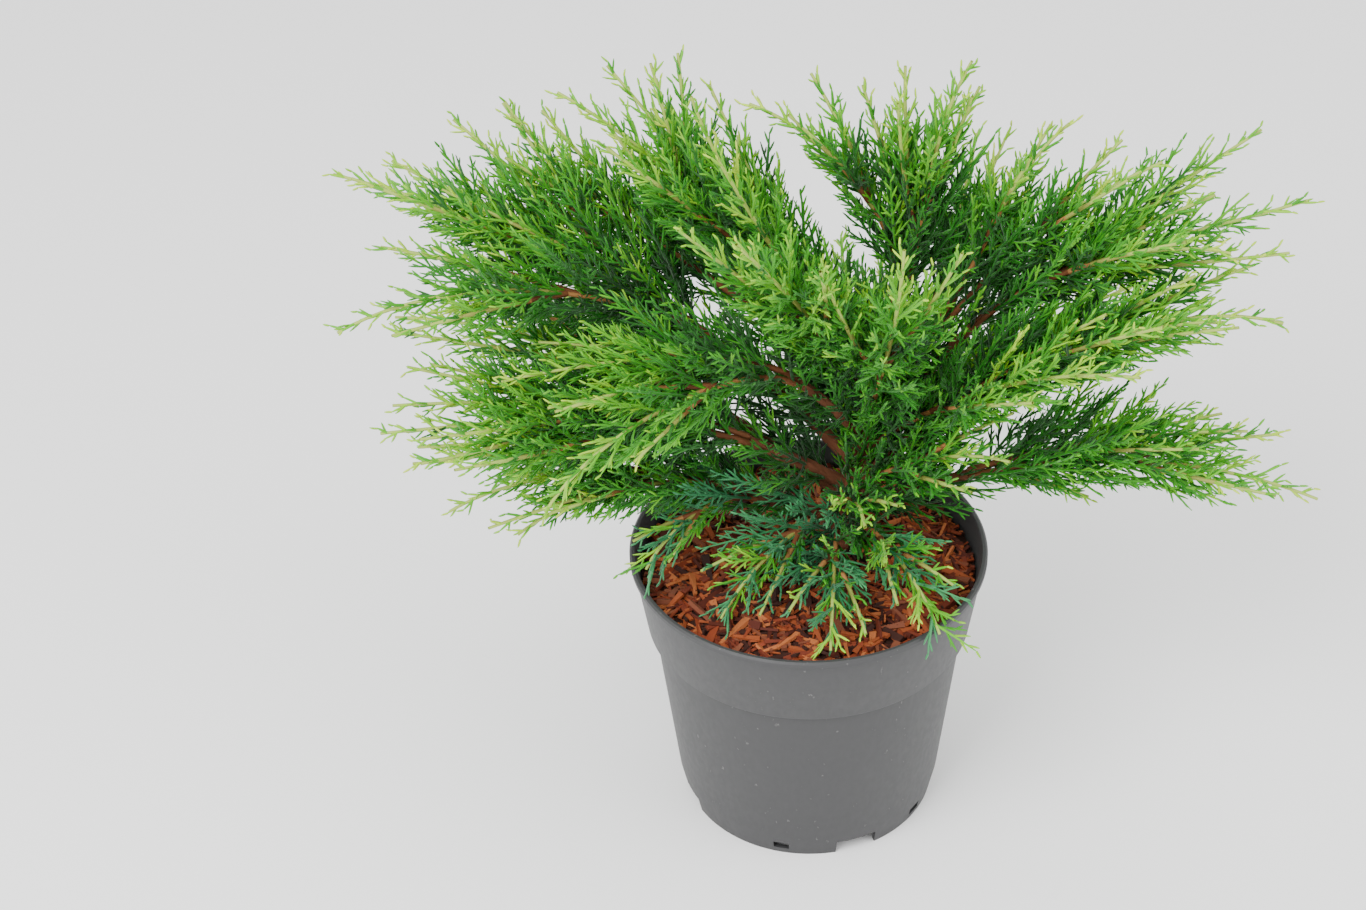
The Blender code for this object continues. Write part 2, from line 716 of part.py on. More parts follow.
def is_sound(mesh):
    """True for a mesh that is closed and touches itself nowhere at an edge or a corner."""
    bm = bmesh.new()
    bm.from_mesh(mesh)
    sound = all(edge.is_manifold for edge in bm.edges) and all(c.is_manifold for c in bm.verts)
    bm.free()
    return sound


def make_masses(finish, trunk_clearance):
    space = Space()
    heights = [TRUNK_FOOT.z + (TRUNK_TIP.z - TRUNK_FOOT.z) * k / 6 for k in range(7)]
    for low, high in zip(heights, heights[1:]):
        space.add("trunk", trunk_centre(low), trunk_centre(high), trunk_radius(low) + 0.001)
    starts = {}
    for bough in BOUGHS:
        points = bough_points(bough)[0]
        foot = bough_radii(bough)[0]
        for a, b in zip(points, points[1:]):
            space.add(bough, a, b, foot)
        starts.update(fork_starts(bough))
    stems, facings = {}, {}
    for name in MASSES:
        stems[name], facings[name] = stem_points(name, starts)
        for a, b in zip(stems[name], stems[name][1:]):
            space.add(name, a, b, STEM_FOOT_RADIUS)
    laid = lay_sprays(stems, facings, space)
    for name in MASSES:
        join_mass(name, stems[name], facings[name], laid[name], finish, trunk_clearance)


def make_plant():
    plastic = material("pot_plastic", (0.165, 0.165, 0.170), 0.48)
    mix = material("potting_mix", (0.055, 0.035, 0.025), 0.95)
    mulch = material("bark_mulch", (0.200, 0.065, 0.030), 0.90)
    bark = material("bark", (0.235, 0.095, 0.045), 0.85)
    foliage = material("foliage", (0.075, 0.215, 0.028), 0.60)
    make_pot(plastic)
    make_filling(mix, mulch)
    add_object("trunk", trunk_mesh(), bark, math.radians(60))
    trunk_clearance = add_object("trunk_clearance", trunk_mesh(GAP), bark)
    hide_cutter(trunk_clearance)
    make_boughs(bark, trunk_clearance)
    make_masses(foliage, trunk_clearance)


clear_scene()
make_plant()
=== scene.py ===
import itertools
import math
import random

import bmesh
import bpy
import numpy as np
from mathutils import Matrix, Vector
from mathutils.geometry import interpolate_bezier


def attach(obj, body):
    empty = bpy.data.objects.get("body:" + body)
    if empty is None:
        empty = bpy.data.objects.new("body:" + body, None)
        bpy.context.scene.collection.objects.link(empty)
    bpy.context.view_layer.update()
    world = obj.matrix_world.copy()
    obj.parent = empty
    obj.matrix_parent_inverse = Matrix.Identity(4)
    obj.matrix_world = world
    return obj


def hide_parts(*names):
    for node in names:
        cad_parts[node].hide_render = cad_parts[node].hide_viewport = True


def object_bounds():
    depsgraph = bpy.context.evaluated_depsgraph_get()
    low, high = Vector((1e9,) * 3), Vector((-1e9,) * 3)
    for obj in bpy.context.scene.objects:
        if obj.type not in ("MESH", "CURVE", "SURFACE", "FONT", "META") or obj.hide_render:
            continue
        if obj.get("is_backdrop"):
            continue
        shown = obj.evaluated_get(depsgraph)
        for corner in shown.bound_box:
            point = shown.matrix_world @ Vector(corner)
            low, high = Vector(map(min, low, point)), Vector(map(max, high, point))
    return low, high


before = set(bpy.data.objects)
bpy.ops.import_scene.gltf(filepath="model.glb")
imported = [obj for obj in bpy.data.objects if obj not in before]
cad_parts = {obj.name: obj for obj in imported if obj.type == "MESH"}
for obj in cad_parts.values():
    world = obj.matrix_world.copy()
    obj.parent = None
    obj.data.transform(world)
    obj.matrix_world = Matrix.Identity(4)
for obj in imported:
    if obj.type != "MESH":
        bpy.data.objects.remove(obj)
CAD_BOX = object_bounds()


# The camera. It looks down on the plant from the front at 39 degrees, from
# 1.4 m off the middle of the rim, which lies right of and below the picture's
# centre by these sizes in the photograph's pixels.
PHOTO_WIDTH = 1366
FOCAL_PIXELS = 2500.0
RIM_RIGHT_OF_CENTRE = 125.1
RIM_BELOW_CENTRE = 89.6
CAMERA_RISE = math.radians(39)
CAMERA_DISTANCE = 1.40
RIM_CENTRE = Vector((0, 0, 0.170))
SENSOR_WIDTH = 36               # in millimetres


def set_camera():
    to_camera = Vector((0, -math.cos(CAMERA_RISE), math.sin(CAMERA_RISE)))
    place = RIM_CENTRE + to_camera * CAMERA_DISTANCE
    to_rim = (RIM_CENTRE - place).normalized()
    right = Vector((1, 0, 0))
    up = right.cross(to_rim)
    aim = (to_rim * FOCAL_PIXELS - right * RIM_RIGHT_OF_CENTRE + up * RIM_BELOW_CENTRE).normalized()
    across = (right - aim * right.dot(aim)).normalized()
    turn = Matrix((across, (-aim).cross(across), -aim)).transposed().to_4x4()
    turn.translation = place
    camera = bpy.data.cameras.new("camera")
    camera.sensor_width = SENSOR_WIDTH
    camera.lens = SENSOR_WIDTH * FOCAL_PIXELS / PHOTO_WIDTH
    holder = bpy.data.objects.new("camera", camera)
    holder.matrix_world = turn
    bpy.context.scene.collection.objects.link(holder)
    bpy.context.scene.camera = holder


set_camera()


# The surroundings: a wide white floor, a white sky, and two large soft lights,
# one overhead on the left and a weaker one on the right.
FLOOR_SIZE = 8.0
FLOOR_WHITE = (0.93, 0.93, 0.93)
FLOOR_ROUGHNESS = 0.9
SKY_STRENGTH = 1.5
LIGHTS = {                      # place, power in watts and width
    "key_light": ((-0.9, -1.1, 1.7), 50.0, 1.2),
    "side_light": ((1.4, -0.6, 1.2), 16.0, 1.4),
}
LIGHT_AIM = Vector((0, 0, 0.25))
PLAIN_SPECULAR = 0.35


def plain(name, colour, roughness, sheen=0.0):
    """A finish of one colour, for the floor and for small things dealt out by colour."""
    finish = bpy.data.materials.new(name)
    finish.use_nodes = True
    shader = finish.node_tree.nodes["Principled BSDF"]
    shader.inputs["Base Color"].default_value = (*colour, 1.0)
    shader.inputs["Roughness"].default_value = roughness
    shader.inputs["Sheen Weight"].default_value = sheen
    shader.inputs["Specular IOR Level"].default_value = PLAIN_SPECULAR
    return finish


def set_surroundings():
    sky = bpy.data.worlds.new("sky")
    bpy.context.scene.world = sky
    sky.use_nodes = True
    background = sky.node_tree.nodes["Background"]
    background.inputs["Color"].default_value = (1.0, 1.0, 1.0, 1.0)
    background.inputs["Strength"].default_value = SKY_STRENGTH
    half = FLOOR_SIZE / 2
    mesh = bpy.data.meshes.new("floor")
    mesh.from_pydata([(-half, -half, 0), (half, -half, 0), (half, half, 0), (-half, half, 0)],
                     [], [(0, 1, 2, 3)])
    mesh.materials.append(plain("floor_white", FLOOR_WHITE, FLOOR_ROUGHNESS))
    floor = bpy.data.objects.new("floor", mesh)
    bpy.context.scene.collection.objects.link(floor)
    floor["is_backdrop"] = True
    for name, (place, power, width) in LIGHTS.items():
        light = bpy.data.lights.new(name, "AREA")
        light.energy = power
        light.size = width
        lamp = bpy.data.objects.new(name, light)
        lamp.location = place
        lamp.rotation_euler = (LIGHT_AIM - Vector(place)).to_track_quat("-Z", "Y").to_euler()
        bpy.context.scene.collection.objects.link(lamp)


set_surroundings()


# The filling is brown potting mix under a bed of fine bark, poured in and left
# loose. Both solids stay, each in a dull finish of two colours.
def from_display(red, green, blue):
    """A colour as a screen shows it, turned into linear light."""
    return tuple(((c / 255 + 0.055) / 1.055) ** 2.4 if c > 10 else c / 255 / 12.92
                 for c in (red, green, blue))


PEAT_BROWN = from_display(62, 46, 36)
PEAT_CRUMBS = from_display(96, 72, 54)
PEAT_SCALE = 400.0
PEAT_RELIEF = 0.0005
BED_BROWN = from_display(52, 26, 16)
BED_CRUMBS = from_display(110, 52, 30)
BED_SCALE = 300.0
BED_RELIEF = 0.0008
FILLING_ROUGHNESS = 0.95
EVEN = (1, 1, 1)                # noise that isn't stretched
SPECK_DETAIL = 6
SPECKS_START, SPECKS_FULL = 0.68, 0.78
SMOOTHEST, ROUGHEST = 0.42, 0.62
MIX_FIRST, MIX_SECOND, MIX_RESULT = 6, 7, 2     # the Mix node's colour sockets
SPECKLED_SPECULAR = 0.4


def node_group(name, inputs, outputs):
    group = bpy.data.node_groups.new(name, "ShaderNodeTree")
    for socket, kind in inputs:
        group.interface.new_socket(name=socket, in_out="INPUT", socket_type=kind)
    for socket, kind in outputs:
        group.interface.new_socket(name=socket, in_out="OUTPUT", socket_type=kind)
    return group, group.nodes.new("NodeGroupInput"), group.nodes.new("NodeGroupOutput")


def speckle_group():
    """Two colours mixed by fine noise: mostly the first, with specks of the second."""
    group, entry, leave = node_group(
        "specks", (("Colour", "NodeSocketColor"), ("Specks", "NodeSocketColor"),
                   ("Scale", "NodeSocketFloat"), ("Stretch", "NodeSocketVector")),
        (("Base Color", "NodeSocketColor"), ("Roughness", "NodeSocketFloat"),
         ("Bump Height", "NodeSocketFloat")))
    place = group.nodes.new("ShaderNodeTexCoord")
    stretch = group.nodes.new("ShaderNodeMapping")
    noise = group.nodes.new("ShaderNodeTexNoise")
    noise.inputs["Detail"].default_value = SPECK_DETAIL
    steps = group.nodes.new("ShaderNodeMapRange")
    steps.inputs["From Min"].default_value = SPECKS_START
    steps.inputs["From Max"].default_value = SPECKS_FULL
    mix = group.nodes.new("ShaderNodeMix")
    mix.data_type = "RGBA"
    rough = group.nodes.new("ShaderNodeMapRange")
    rough.inputs["To Min"].default_value = SMOOTHEST
    rough.inputs["To Max"].default_value = ROUGHEST
    link = group.links.new
    link(place.outputs["Object"], stretch.inputs["Vector"])
    link(entry.outputs["Stretch"], stretch.inputs["Scale"])
    link(stretch.outputs["Vector"], noise.inputs["Vector"])
    link(entry.outputs["Scale"], noise.inputs["Scale"])
    link(noise.outputs["Fac"], steps.inputs["Value"])
    link(noise.outputs["Fac"], rough.inputs["Value"])
    link(steps.outputs["Result"], mix.inputs["Factor"])
    link(entry.outputs["Colour"], mix.inputs[MIX_FIRST])
    link(entry.outputs["Specks"], mix.inputs[MIX_SECOND])
    link(mix.outputs[MIX_RESULT], leave.inputs["Base Color"])
    link(rough.outputs["Result"], leave.inputs["Roughness"])
    link(noise.outputs["Fac"], leave.inputs["Bump Height"])
    return group


SPECKS = speckle_group()


def speckled(name, colour, specks, scale, stretch, relief_depth, roughness=None):
    """A finish with specks and their relief. Its gloss varies where no roughness is given."""
    finish = bpy.data.materials.new(name)
    finish.use_nodes = True
    nodes, link = finish.node_tree.nodes, finish.node_tree.links.new
    shader = nodes["Principled BSDF"]
    shader.inputs["Specular IOR Level"].default_value = SPECKLED_SPECULAR
    group = nodes.new("ShaderNodeGroup")
    group.node_tree = SPECKS
    group.inputs["Colour"].default_value = (*colour, 1.0)
    group.inputs["Specks"].default_value = (*specks, 1.0)
    group.inputs["Scale"].default_value = scale
    group.inputs["Stretch"].default_value = stretch
    relief = nodes.new("ShaderNodeBump")
    relief.inputs["Strength"].default_value = 1.0
    relief.inputs["Distance"].default_value = relief_depth
    link(group.outputs["Base Color"], shader.inputs["Base Color"])
    if roughness is None:
        link(group.outputs["Roughness"], shader.inputs["Roughness"])
    else:
        shader.inputs["Roughness"].default_value = roughness
    link(group.outputs["Bump Height"], relief.inputs["Height"])
    link(relief.outputs["Normal"], shader.inputs["Normal"])
    return finish


def dress(node, finish):
    """Give a solid that stays its finish."""
    for slot in bpy.data.objects[node].material_slots:
        slot.material = finish


dress("potting_mix", speckled("peat", PEAT_BROWN, PEAT_CRUMBS, PEAT_SCALE, EVEN,
                              PEAT_RELIEF, FILLING_ROUGHNESS))
dress("bark_mulch", speckled("mulch_bed", BED_BROWN, BED_CRUMBS, BED_SCALE, EVEN,
                             BED_RELIEF, FILLING_ROUGHNESS))


# The pot is thin grey polypropylene, moulded in one piece: satin, a little
# dusty, with fine scuffs and the mould's line above its foot. It has the
# solid's sizes, with more sides.
POT_GREY = from_display(55, 55, 56)
POT_DUST = from_display(112, 111, 109)
SCUFF_SCALE = 300.0
SCUFF_STRETCH = (1.0, 1.0, 0.6)
SCUFF_RELIEF = 0.00004
POT_STEPS = 180
SHARP_EDGE = math.radians(30)
POT_HEIGHT = 0.170
WALL = 0.0020
RIM_RADIUS = 0.100
RIM_LIP = 0.0036                # width of the rolled lip
RIM_BEAD = 0.0042               # height of the bead round the rim
BEAD_STAND = 0.0012             # how far the bead stands out from the collar
BEAD_ROUND = 0.0010             # roundings of the bead's foot and top
EDGE_ROUND = 0.0012             # long side of the roundings of the lip and the collar's foot
EDGE_TIGHT = 0.0008             # their short side
COLLAR_DEPTH = 0.048
COLLAR_FOOT_RADIUS = 0.0917
COLLAR_STEP = 0.0036            # how far the body stands in under the collar
STEP_SLOPE = 0.003              # half the height of that step's slope inside
SEAM_HEIGHT = 0.017             # mould line above the skirt
SEAM_RADIUS = 0.0765
FOOT_RADIUS = 0.0731
SKIRT_WALL = 0.0024
SKIRT_DRAFT = 0.0006            # how much wider the skirt is inside at its top
FLOOR_HEIGHT = 0.010
FLOOR_THICKNESS = 0.0025
FLOOR_DRAFT = 0.0010            # how much narrower the inside is at the floor
PAD_RADIUS = 0.036              # the floor's middle, which stands on the ground
PAD_SLOPE = 0.005
MERGE_WITHIN = 1e-6

NOTCH_COUNT = 4
NOTCH_FIRST = math.radians(-68)
NOTCH_WIDTH = 0.024
NOTCH_HEIGHT = 0.0095
SLIT_OFFSET = math.radians(34)  # a slit on each side of each notch
SLIT_WIDTH = 0.009
SLIT_LOW, SLIT_HIGH = 0.004, 0.009
CUT_BELOW = 0.005               # how far a notch's cutter passes the ground
CUT_PAST = 0.010                # how far a cutter reaches to each side of the skirt


def add_piece(name, mesh, nodes=()):
    """A piece of the plant from its mesh. It stands for the solids named."""
    piece = bpy.data.objects.new(name, mesh)
    bpy.context.scene.collection.objects.link(piece)
    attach(piece, "root")
    if nodes:
        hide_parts(*nodes)


def turned(profile, sides):
    """A closed solid from a profile of (radius, height) that starts and ends on the axis."""
    bm = bmesh.new()
    corners = [bm.verts.new((radius, 0.0, height)) for radius, height in profile]
    edges = [bm.edges.new(pair) for pair in zip(corners, corners[1:])]
    bmesh.ops.spin(bm, geom=corners + edges, axis=(0, 0, 1), cent=(0, 0, 0),
                   angle=2 * math.pi, steps=sides, use_merge=True)
    bmesh.ops.remove_doubles(bm, verts=bm.verts, dist=MERGE_WITHIN)
    return bm


def body_radius(height):
    """Outside radius of the pot's tapered body between the mould line and the collar."""
    top = POT_HEIGHT - COLLAR_DEPTH
    share = (height - SEAM_HEIGHT) / (top - SEAM_HEIGHT)
    return SEAM_RADIUS + (COLLAR_FOOT_RADIUS - COLLAR_STEP - SEAM_RADIUS) * share


def collar_radius(height):
    """Outside radius of the collar, under the bead."""
    foot = POT_HEIGHT - COLLAR_DEPTH
    share = (height - foot) / COLLAR_DEPTH
    return COLLAR_FOOT_RADIUS + (RIM_RADIUS - BEAD_STAND - COLLAR_FOOT_RADIUS) * share


def pot_profile():
    """The pot's section, out along the underside, up outside, and down inside."""
    collar_foot = POT_HEIGHT - COLLAR_DEPTH
    bead_foot = POT_HEIGHT - RIM_BEAD
    floor_top = FLOOR_HEIGHT + FLOOR_THICKNESS
    inner_step = collar_foot + WALL
    return [
        (0.0, 0.0),
        (PAD_RADIUS, 0.0),
        (PAD_RADIUS + PAD_SLOPE, FLOOR_HEIGHT),
        (FOOT_RADIUS - SKIRT_WALL + SKIRT_DRAFT, FLOOR_HEIGHT),
        (FOOT_RADIUS - SKIRT_WALL, 0.0),
        (FOOT_RADIUS, 0.0),
        (SEAM_RADIUS, SEAM_HEIGHT),
        (body_radius(collar_foot), collar_foot),
        (COLLAR_FOOT_RADIUS - EDGE_TIGHT, collar_foot),
        (COLLAR_FOOT_RADIUS, collar_foot + EDGE_ROUND),
        (collar_radius(bead_foot), bead_foot),
        (RIM_RADIUS, bead_foot + BEAD_ROUND),
        (RIM_RADIUS, POT_HEIGHT - BEAD_ROUND),
        (RIM_RADIUS - EDGE_ROUND, POT_HEIGHT),
        (RIM_RADIUS - RIM_LIP + EDGE_TIGHT, POT_HEIGHT),
        (RIM_RADIUS - RIM_LIP, POT_HEIGHT - EDGE_ROUND),
        (collar_radius(inner_step) - WALL, inner_step + STEP_SLOPE),
        (body_radius(collar_foot) - WALL, inner_step - STEP_SLOPE),
        (SEAM_RADIUS - WALL, SEAM_HEIGHT),
        (SEAM_RADIUS - WALL - FLOOR_DRAFT, floor_top),
        (PAD_RADIUS + PAD_SLOPE - FLOOR_THICKNESS / 2, floor_top),
        (PAD_RADIUS - FLOOR_THICKNESS / 2, FLOOR_THICKNESS),
        (0.0, FLOOR_THICKNESS),
    ]


def add_block(bm, azimuth, width, low, high):
    """A block through the skirt's wall at an azimuth."""
    inner, outer = FOOT_RADIUS - CUT_PAST, FOOT_RADIUS + CUT_PAST
    out = Vector((math.cos(azimuth), math.sin(azimuth), 0))
    across = Vector((-out.y, out.x, 0))
    for corner in bmesh.ops.create_cube(bm, size=1.0)["verts"]:
        x, y, z = corner.co
        place = out * (inner + (x + 0.5) * (outer - inner)) + across * (y * width)
        corner.co = (place.x, place.y, low + (z + 0.5) * (high - low))


def skirt_notches():
    """Blocks that cut the drain notches and the slits beside them out of the skirt."""
    bm = bmesh.new()
    for k in range(NOTCH_COUNT):
        middle = NOTCH_FIRST + k * 2 * math.pi / NOTCH_COUNT
        add_block(bm, middle, NOTCH_WIDTH, -CUT_BELOW, NOTCH_HEIGHT)
        for side in (-1, 1):
            add_block(bm, middle + side * SLIT_OFFSET, SLIT_WIDTH, SLIT_LOW, SLIT_HIGH)
    return bm


def add_pot():
    pieces = []
    for name, bm in (("pot_plastic", turned(pot_profile(), POT_STEPS)), ("pot_notches", skirt_notches())):
        bmesh.ops.recalc_face_normals(bm, faces=bm.faces)
        mesh = bpy.data.meshes.new(name)
        bm.to_mesh(mesh)
        bm.free()
        pieces.append(bpy.data.objects.new(name, mesh))
        bpy.context.scene.collection.objects.link(pieces[-1])
    pot, cutter = pieces
    notch = pot.modifiers.new("notches", "BOOLEAN")
    notch.operation = "DIFFERENCE"
    notch.object = cutter
    mesh = bpy.data.meshes.new_from_object(pot.evaluated_get(bpy.context.evaluated_depsgraph_get()))
    for piece in pieces:
        bpy.data.objects.remove(piece)
    mesh.shade_smooth()
    mesh.set_sharp_from_angle(angle=SHARP_EDGE)
    mesh.materials.clear()
    mesh.materials.append(speckled("grey_plastic", POT_GREY, POT_DUST, SCUFF_SCALE, SCUFF_STRETCH,
                                   SCUFF_RELIEF))
    add_piece("pot_plastic", mesh, ["pot"])


add_pot()


# The bark chips are split slivers of pine bark, red-brown and orange, strewn
# loose over the mix a few deep. They lie flat or lean on each other.
CHIP_COUNT = 2600
CHIP_SEED = 11
CHIP_COLOURS = [from_display(*c) for c in (
    (126, 52, 24), (106, 42, 22), (80, 30, 16), (146, 70, 34), (172, 96, 52), (54, 24, 16), (116, 62, 40))]
CHIP_ROUGHNESS = 0.8
CHIP_LENGTHS = (0.005, 0.017)
COMMON_SHARE = 0.9              # of the chips; the others are longer than drawn
LONG_CHIP = 1.5                 # by this factor
CHIP_WIDTHS = (0.10, 0.30)      # shares of its length
CHIP_THICKNESSES = (0.3, 0.7)   # shares of its width
CHIP_TAPER = 0.45               # width of a chip's far end against its near one
CHIP_TILT = 0.16                # spread of the tilts and rolls, in radians
CHIP_ROLL = 0.5
CHIP_LIFTS = (0.0002, 0.0032)   # heights of the chips' middles over the bed
CHIP_REACH = 0.42               # share of its length from a chip's middle to the bed's edge, at least
CHIP_BED_RADIUS = 0.0925
BED_RADII = (0.045, 0.076, 0.0945)
BED_HEIGHTS = (0.1572, 0.1560, 0.1530)


def bed_height(out):
    """Top of the mulch's solid at a distance from the pot's axis."""
    return np.interp(out, BED_RADII, BED_HEIGHTS)


def add_chips():
    rng = np.random.default_rng(CHIP_SEED)
    out = CHIP_BED_RADIUS * np.sqrt(rng.random(CHIP_COUNT))
    turn = rng.random(CHIP_COUNT) * 2 * math.pi
    length = rng.uniform(*CHIP_LENGTHS, CHIP_COUNT)
    length *= np.where(rng.random(CHIP_COUNT) > COMMON_SHARE, LONG_CHIP, 1.0)
    width = length * rng.uniform(*CHIP_WIDTHS, CHIP_COUNT)
    thick = width * rng.uniform(*CHIP_THICKNESSES, CHIP_COUNT)
    lie = rng.random(CHIP_COUNT) * 2 * math.pi
    tilt = rng.normal(0, CHIP_TILT, CHIP_COUNT)
    out = np.minimum(out, CHIP_BED_RADIUS - length * CHIP_REACH)
    middle = np.stack([out * np.cos(turn), out * np.sin(turn),
                       bed_height(out) + rng.uniform(*CHIP_LIFTS, CHIP_COUNT)], axis=1)
    along = np.stack([np.cos(lie) * np.cos(tilt), np.sin(lie) * np.cos(tilt), np.sin(tilt)], axis=1)
    roll = rng.normal(0, CHIP_ROLL, CHIP_COUNT)
    side = np.stack([-np.sin(lie), np.cos(lie), np.zeros(CHIP_COUNT)], axis=1)
    top = np.cross(along, side)
    side, top = (side * np.cos(roll)[:, None] + top * np.sin(roll)[:, None],
                 top * np.cos(roll)[:, None] - side * np.sin(roll)[:, None])
    signs = np.array(list(itertools.product((-1, 1), repeat=3)))
    taper = np.where(signs[:, 0] > 0, CHIP_TAPER, 1.0)
    corners = (middle[:, None] + along[:, None] * (signs[:, 0] * 0.5)[:, None] * length[:, None, None]
               + side[:, None] * (signs[:, 1] * taper * 0.5)[:, None] * width[:, None, None]
               + top[:, None] * (signs[:, 2] * 0.5)[:, None] * thick[:, None, None])
    faces = ((0, 1, 3, 2), (4, 6, 7, 5), (0, 4, 5, 1), (2, 3, 7, 6), (0, 2, 6, 4), (1, 5, 7, 3))
    quads = [tuple(8 * k + c for c in face) for k in range(CHIP_COUNT) for face in faces]
    mesh = bpy.data.meshes.new("bark_chips")
    mesh.from_pydata(corners.reshape(-1, 3).tolist(), [], quads)
    deal = rng.integers(0, len(CHIP_COLOURS), CHIP_COUNT)
    mesh.polygons.foreach_set("material_index", np.repeat(deal, len(faces)).astype(np.int32))
    for k, colour in enumerate(CHIP_COLOURS):
        mesh.materials.append(plain("chip_%d" % k, colour, CHIP_ROUGHNESS))
    add_piece("bark_chips", mesh)


add_chips()


# The wood is the plant's own: trunk and boughs are red-brown under shreds of
# grey bark that lift along the grain, here ridges in the mesh. The limbs stand
# where the solids have them, on the same curves.
BARK_BROWN = from_display(112, 66, 42)
BARK_GREY = from_display(150, 118, 92)
BARK_SCALE = 160.0
BARK_STRETCH = (1.0, 1.0, 0.25)
BARK_RELIEF = 0.0003
BARK_ROUGHNESS = 0.85
BARK_SEED = 1
RIDGES = 9
RIDGE_DEPTH = 0.07              # share of the limb's radius
RIDGE_DRIFT = 0.55              # turn of the ridges from one ring to the next
RIDGE_BREAKS = 0.6
TRUNK_FOOT = Vector((0.012, 0.018, 0.1575))
TRUNK_TIP = Vector((0.038, 0.032, 0.262))
TRUNK_BOW = Vector((0.003, -0.002, 0.0))
TRUNK_FOOT_RADIUS, TRUNK_TIP_RADIUS = 0.0088, 0.0056
TRUNK_STEPS = 40
TRUNK_SIDES = 28
FLARE, FLARE_HEIGHT = 0.0050, 0.007
SHOOT_RADIUS = 0.0018           # of a mass's leader, by which its bough is sized
BOUGH_TAPER = 1.35
BOUGH_STEPS, BOUGH_KEPT = 11, 7     # steps of a bough's curve, and those the limb keeps
BOUGH_LEAD, BOUGH_FOLLOW = 0.4, 0.3     # lengths of the curve's two handles against its run
BOUGH_FINENESS = 4              # points here for each of the solid's
BOUGH_SIDES = 14
NEARLY_UPRIGHT = 0.15
# Each bough has its height on the trunk, its rise there in degrees, and the
# place that its curve runs to.
BOUGHS = {
    "bough_left_low": (0.175, 20, (-0.050, 0.006, 0.210)),
    "bough_left_back": (0.186, 30, (-0.070, 0.066, 0.230)),
    "bough_left_mid": (0.195, 40, (-0.062, -0.010, 0.264)),
    "bough_left_high": (0.2075, 54, (-0.100, 0.028, 0.326)),
    "bough_left_over": (0.2235, 60, (-0.026, -0.012, 0.304)),
    "bough_left_crest": (0.2315, 62, (-0.074, 0.054, 0.330)),
    "bough_crest": (0.262, 80, (0.054, 0.036, 0.330)),
    "bough_right_crest": (0.240, 58, (0.092, 0.034, 0.328)),
    "bough_right_high": (0.222, 56, (0.112, 0.026, 0.330)),
    "bough_right_mid": (0.203, 44, (0.112, -0.005, 0.296)),
    "bough_right_low": (0.180, 24, (0.122, 0.002, 0.232)),
    "bough_back_left": (0.218, 50, (-0.036, 0.096, 0.290)),
    "bough_back_right": (0.232, 52, (0.086, 0.096, 0.298)),
}
